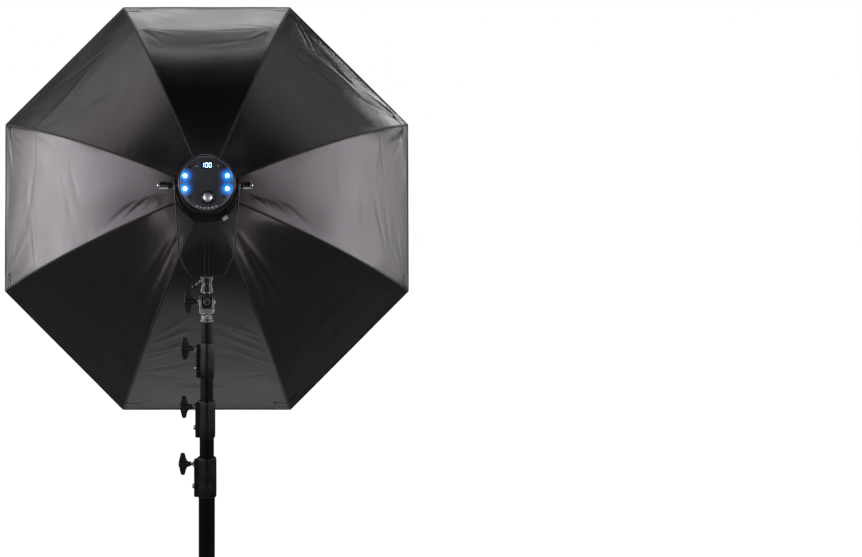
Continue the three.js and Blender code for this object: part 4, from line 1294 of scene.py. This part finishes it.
def front_cloth():
    """Four quarters of the white front, each hung from the tip of every second rib."""
    steps = 44
    corners = [(FRONT_RADIUS * math.cos(a), FRONT_RADIUS * math.sin(a)) for a in (-STEP, 0, STEP)]
    s = np.linspace(0.002, 1, steps + 1)[:, None]
    t = np.linspace(-1, 1, 2 * steps + 1)[None, :]
    edge_x = np.where(t < 0, corners[1][0] + (corners[0][0] - corners[1][0]) * -t,
                      corners[1][0] + (corners[2][0] - corners[1][0]) * t)
    edge_z = np.where(t < 0, corners[0][1] * -t, corners[2][1] * t)
    for i in range(4):
        index = 2 * i
        out, around = rib_side(index)
        place = basis(HUB, out, FORWARD, around)
        name = f"diffuser_{i + 1}"

        def polar(x, z):
            """Distance from the axis, and the angle round it in the softbox's own directions."""
            return np.hypot(x, z), np.arctan2(z, x) + (index + 0.5) * STEP

        def fold(obj):
            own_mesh(obj)

        x, z = s * edge_x, s * edge_z
        reach, angle = polar(x, z)
        near_rim = (reach / FRONT_RADIUS) ** 2
        pull = 1.6 * np.cos(RIBS * angle) * near_rim
        soft = 1.2 * np.sin(reach / 90.0) * np.cos(2 * angle + 0.6)
        soft *= np.clip((FRONT_RADIUS - reach) / 200, 0, 1)
        depth = FRONT_DEPTH + 0.4 + pull + soft + 2.0 * (1 - near_rim)
        points = np.stack([x, depth, z], -1)
        bm = bmesh.new()
        uv = np.stack([reach * np.cos(angle), reach * np.sin(angle)], -1) * MM
        grid_mesh(bm, to_world(points, place), uv)
        obj = open_sheet(f"front_cloth_{i + 1}", bm, ["front"], name, [name], 0.8)
        fold(obj)

        bm = bmesh.new()
        level = np.zeros(edge_x.shape[1])
        band = np.stack([np.stack([edge_x[0] * f, level, edge_z[0] * f], -1)
                         for f in (0.955, 0.97, 0.985, 1.0)], 0)
        reach, angle = polar(band[..., 0], band[..., 2])
        near_rim = (reach / FRONT_RADIUS) ** 2
        band[..., 1] = (FRONT_DEPTH + 1.4 + 1.6 * np.cos(RIBS * angle) * near_rim
                        + 2.0 * (1 - near_rim))
        run = np.cumsum(np.hypot(np.diff(band[-1, :, 0], prepend=band[-1, 0, 0]),
                                 np.diff(band[-1, :, 2], prepend=band[-1, 0, 2])))
        across = (np.array([0.0, 8.0, 16.0, 24.0]) - 12.0)[:, None] + 0 * run[None, :]
        grid_mesh(bm, to_world(band, place), np.stack([across, 0 * across + run[None, :]], -1) * MM)
        fold(open_sheet(f"front_border_{i + 1}", bm, ["white_tape"], name, [], 1.2))


def hub_and_latch():
    forward = IN_HUB @ Z_TO_FORWARD
    bm = bmesh.new()
    turned(bm, [(60.4, -13), (72.4, -13), (73.5, -12), (75, -10.4), (75, -6), (74.2, -5), (74.2, -3),
                (75, -2), (75.4, 2), (77, 4), (77, 6.6), (74, 7.2), (62, 7.2), (60.4, 6), (60.4, -13)],
           forward, 128)
    for i in range(RIBS):
        for side in (-1, 1):
            spot = IN_HUB @ Matrix.Rotation(-(i + 0.5) * STEP, 4, "Y")
            lug = arc(70, 6.8, 4.6, 0, 180, 8) + [(64.5, 2), (75.5, 2)]
            prism(bm, lug, side * 6.4 - 1.6, side * 6.4 + 1.6, spot)
    node_piece("hub_ring", bm, "plastic", bevel=0.5)
    bm = bmesh.new()
    for i in range(24):
        spot = IN_HUB @ Matrix.Rotation(-i * TAU / 24 - 0.06, 4, "Y")
        block(bm, 74.6, 75.6, -9.2, -6.8, -3.2, 3.2, spot)
    piece("hub_grip_ribs", bm, "plastic", "softbox", slot="black_plastic", bevel=0.3)

    low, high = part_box("release_tab")
    centre = (low + high) / 2
    pull = joint_axis("release_tab_pull")
    tab = basis(centre, pull, FORWARD, pull.cross(FORWARD))
    bm = bmesh.new()
    block(bm, -4.2, 4.6, -3.6, 3.6, -6.6, 6.6, tab)
    for i in (-1, 0, 1):
        block(bm, 0.2 + i * 2.2 - 0.5, 0.2 + i * 2.2 + 0.5, -4.2, -3.4, -5, 5, tab)
    node_piece("release_tab", bm, "satin", bevel=0.7)


def zipper():
    """Two tapes of teeth on the middle of the bottom panel, with the slider and its pull."""
    run = joint_axis("zip_slide")
    bottom_out = -HEAD_UP
    mid = math.cos(STEP / 2)

    def on_cloth(radius, lift=0.0):
        blend = roundness(radius)
        reach = radius * (mid * (1 - blend) + blend)
        return HUB + bottom_out * reach * MM + FORWARD * (float(swell_depth(radius)) - lift) * MM

    first_tooth, pitch, teeth = 118, 1.7, 84
    reach = [first_tooth + i * pitch for i in range(teeth)]
    for side, body, rib in ((-1, "rib_6", 5), (1, "rib_7", 6)):
        bm = bmesh.new()
        radii = np.linspace(reach[0] - 6, reach[-1] + 8, 50)
        line = [on_cloth(radius, 1.2) + X * side * 4.2 * MM for radius in radii]
        section = [(-3.4, -0.4), (3.4, -0.4), (3.4, 0.4), (-3.4, 0.4)]
        swept(bm, line, [(a * MM, o * MM) for a, o in section], X, uv=True)
        tape = piece(f"zip_tape_{body}", bm, "webbing", body, slot="black_nylon", bevel=0.15)
        squash_with_rib(tape)
        bm = bmesh.new()
        for k, radius in enumerate(reach[side > 0::2]):
            ahead = (on_cloth(radius + 1) - on_cloth(radius)).normalized()
            spot = basis(on_cloth(radius, 1.9), X, ahead, X.cross(ahead))
            block(bm, min(0, side * 2.6), max(0, side * 2.6), -0.6, 0.6, -0.7, 0.7, spot)
        row = piece(f"zip_teeth_{body}", bm, "plastic", body, slot="black_plastic")
        squash_with_rib(row)

    place = basis(on_cloth(135, 2.6), run, X, run.cross(X))
    outward = -1 if (run.cross(X)).dot(FORWARD) > 0 else 1
    bm = bmesh.new()
    slider = arc(5, 0, 3.6, -80, 80, 8) + [(-5, 4.4), (-6, 2), (-6, -2), (-5, -4.4)]
    prism(bm, slider, 0.0, outward * 1.6, place)
    block(bm, -3, 3.4, -1, 1, outward * 1.2, outward * 3.0, place)
    pull = rounded_box(2.4, 27, -2.4, 2.4, 2.2)
    prism(bm, pull, outward * 2.0, outward * 3.1, place)
    turned(bm, [(1.9, 0), (3.3, 0), (3.3, 1.2), (1.9, 1.2), (1.9, 0)],
           place @ shift(27, 0, outward * 2.0), 28)
    node_piece("zip_slider", bm, "dark_casting", bevel=0.35)


# ------------------------------------------------------------------ floor
FLOOR_HALF = 40.0
FLOOR_GLOW = 1.2
GLOW_SHARE = 0.88               # share of the glow in what the camera sees of the floor


def make_floor():
    bm = bmesh.new()
    spots = ((-1, -1), (1, -1), (1, 1), (-1, 1))
    bm.faces.new([bm.verts.new((x * FLOOR_HALF, y * FLOOR_HALF, 0.0)) for x, y in spots])
    s = Shader("floor_pale")
    s.colour(s.blend(s.spread(s.noise(2), 0, 1), (0.10, 0.10, 0.10), (0.12, 0.12, 0.12)))
    s.rough(s.spread(s.noise(5), 0.75, 0.9))
    s.set(Specular_IOR_Level=0.1)
    glow = s.node("Emission")
    glow.inputs["Strength"].default_value = FLOOR_GLOW
    seen = s.math("MULTIPLY", s.node("LightPath").outputs["Is Camera Ray"], GLOW_SHARE)
    mix = s.node("MixShader")
    s.wire(seen, mix.inputs["Fac"])
    s.wire(s.bsdf.outputs[0], mix.inputs[1])
    s.wire(glow.outputs[0], mix.inputs[2])
    s.wire(mix.outputs[0], s.tree.nodes["Material Output"].inputs["Surface"])
    mesh_object("floor", bm, [s.material])


# ------------------------------------------------------------------ build
make_camera()
make_lights()
make_studio()
stand_tubes()
stand_collars()
tripod()
receiver()
neck()
umbrella_screw()
yoke()
side_knobs()
lamp_shell()
rear_panel()
lamp_controls()
lamp_front()
hub_and_latch()
wall_panels()
front_cloth()
zipper()
make_floor()
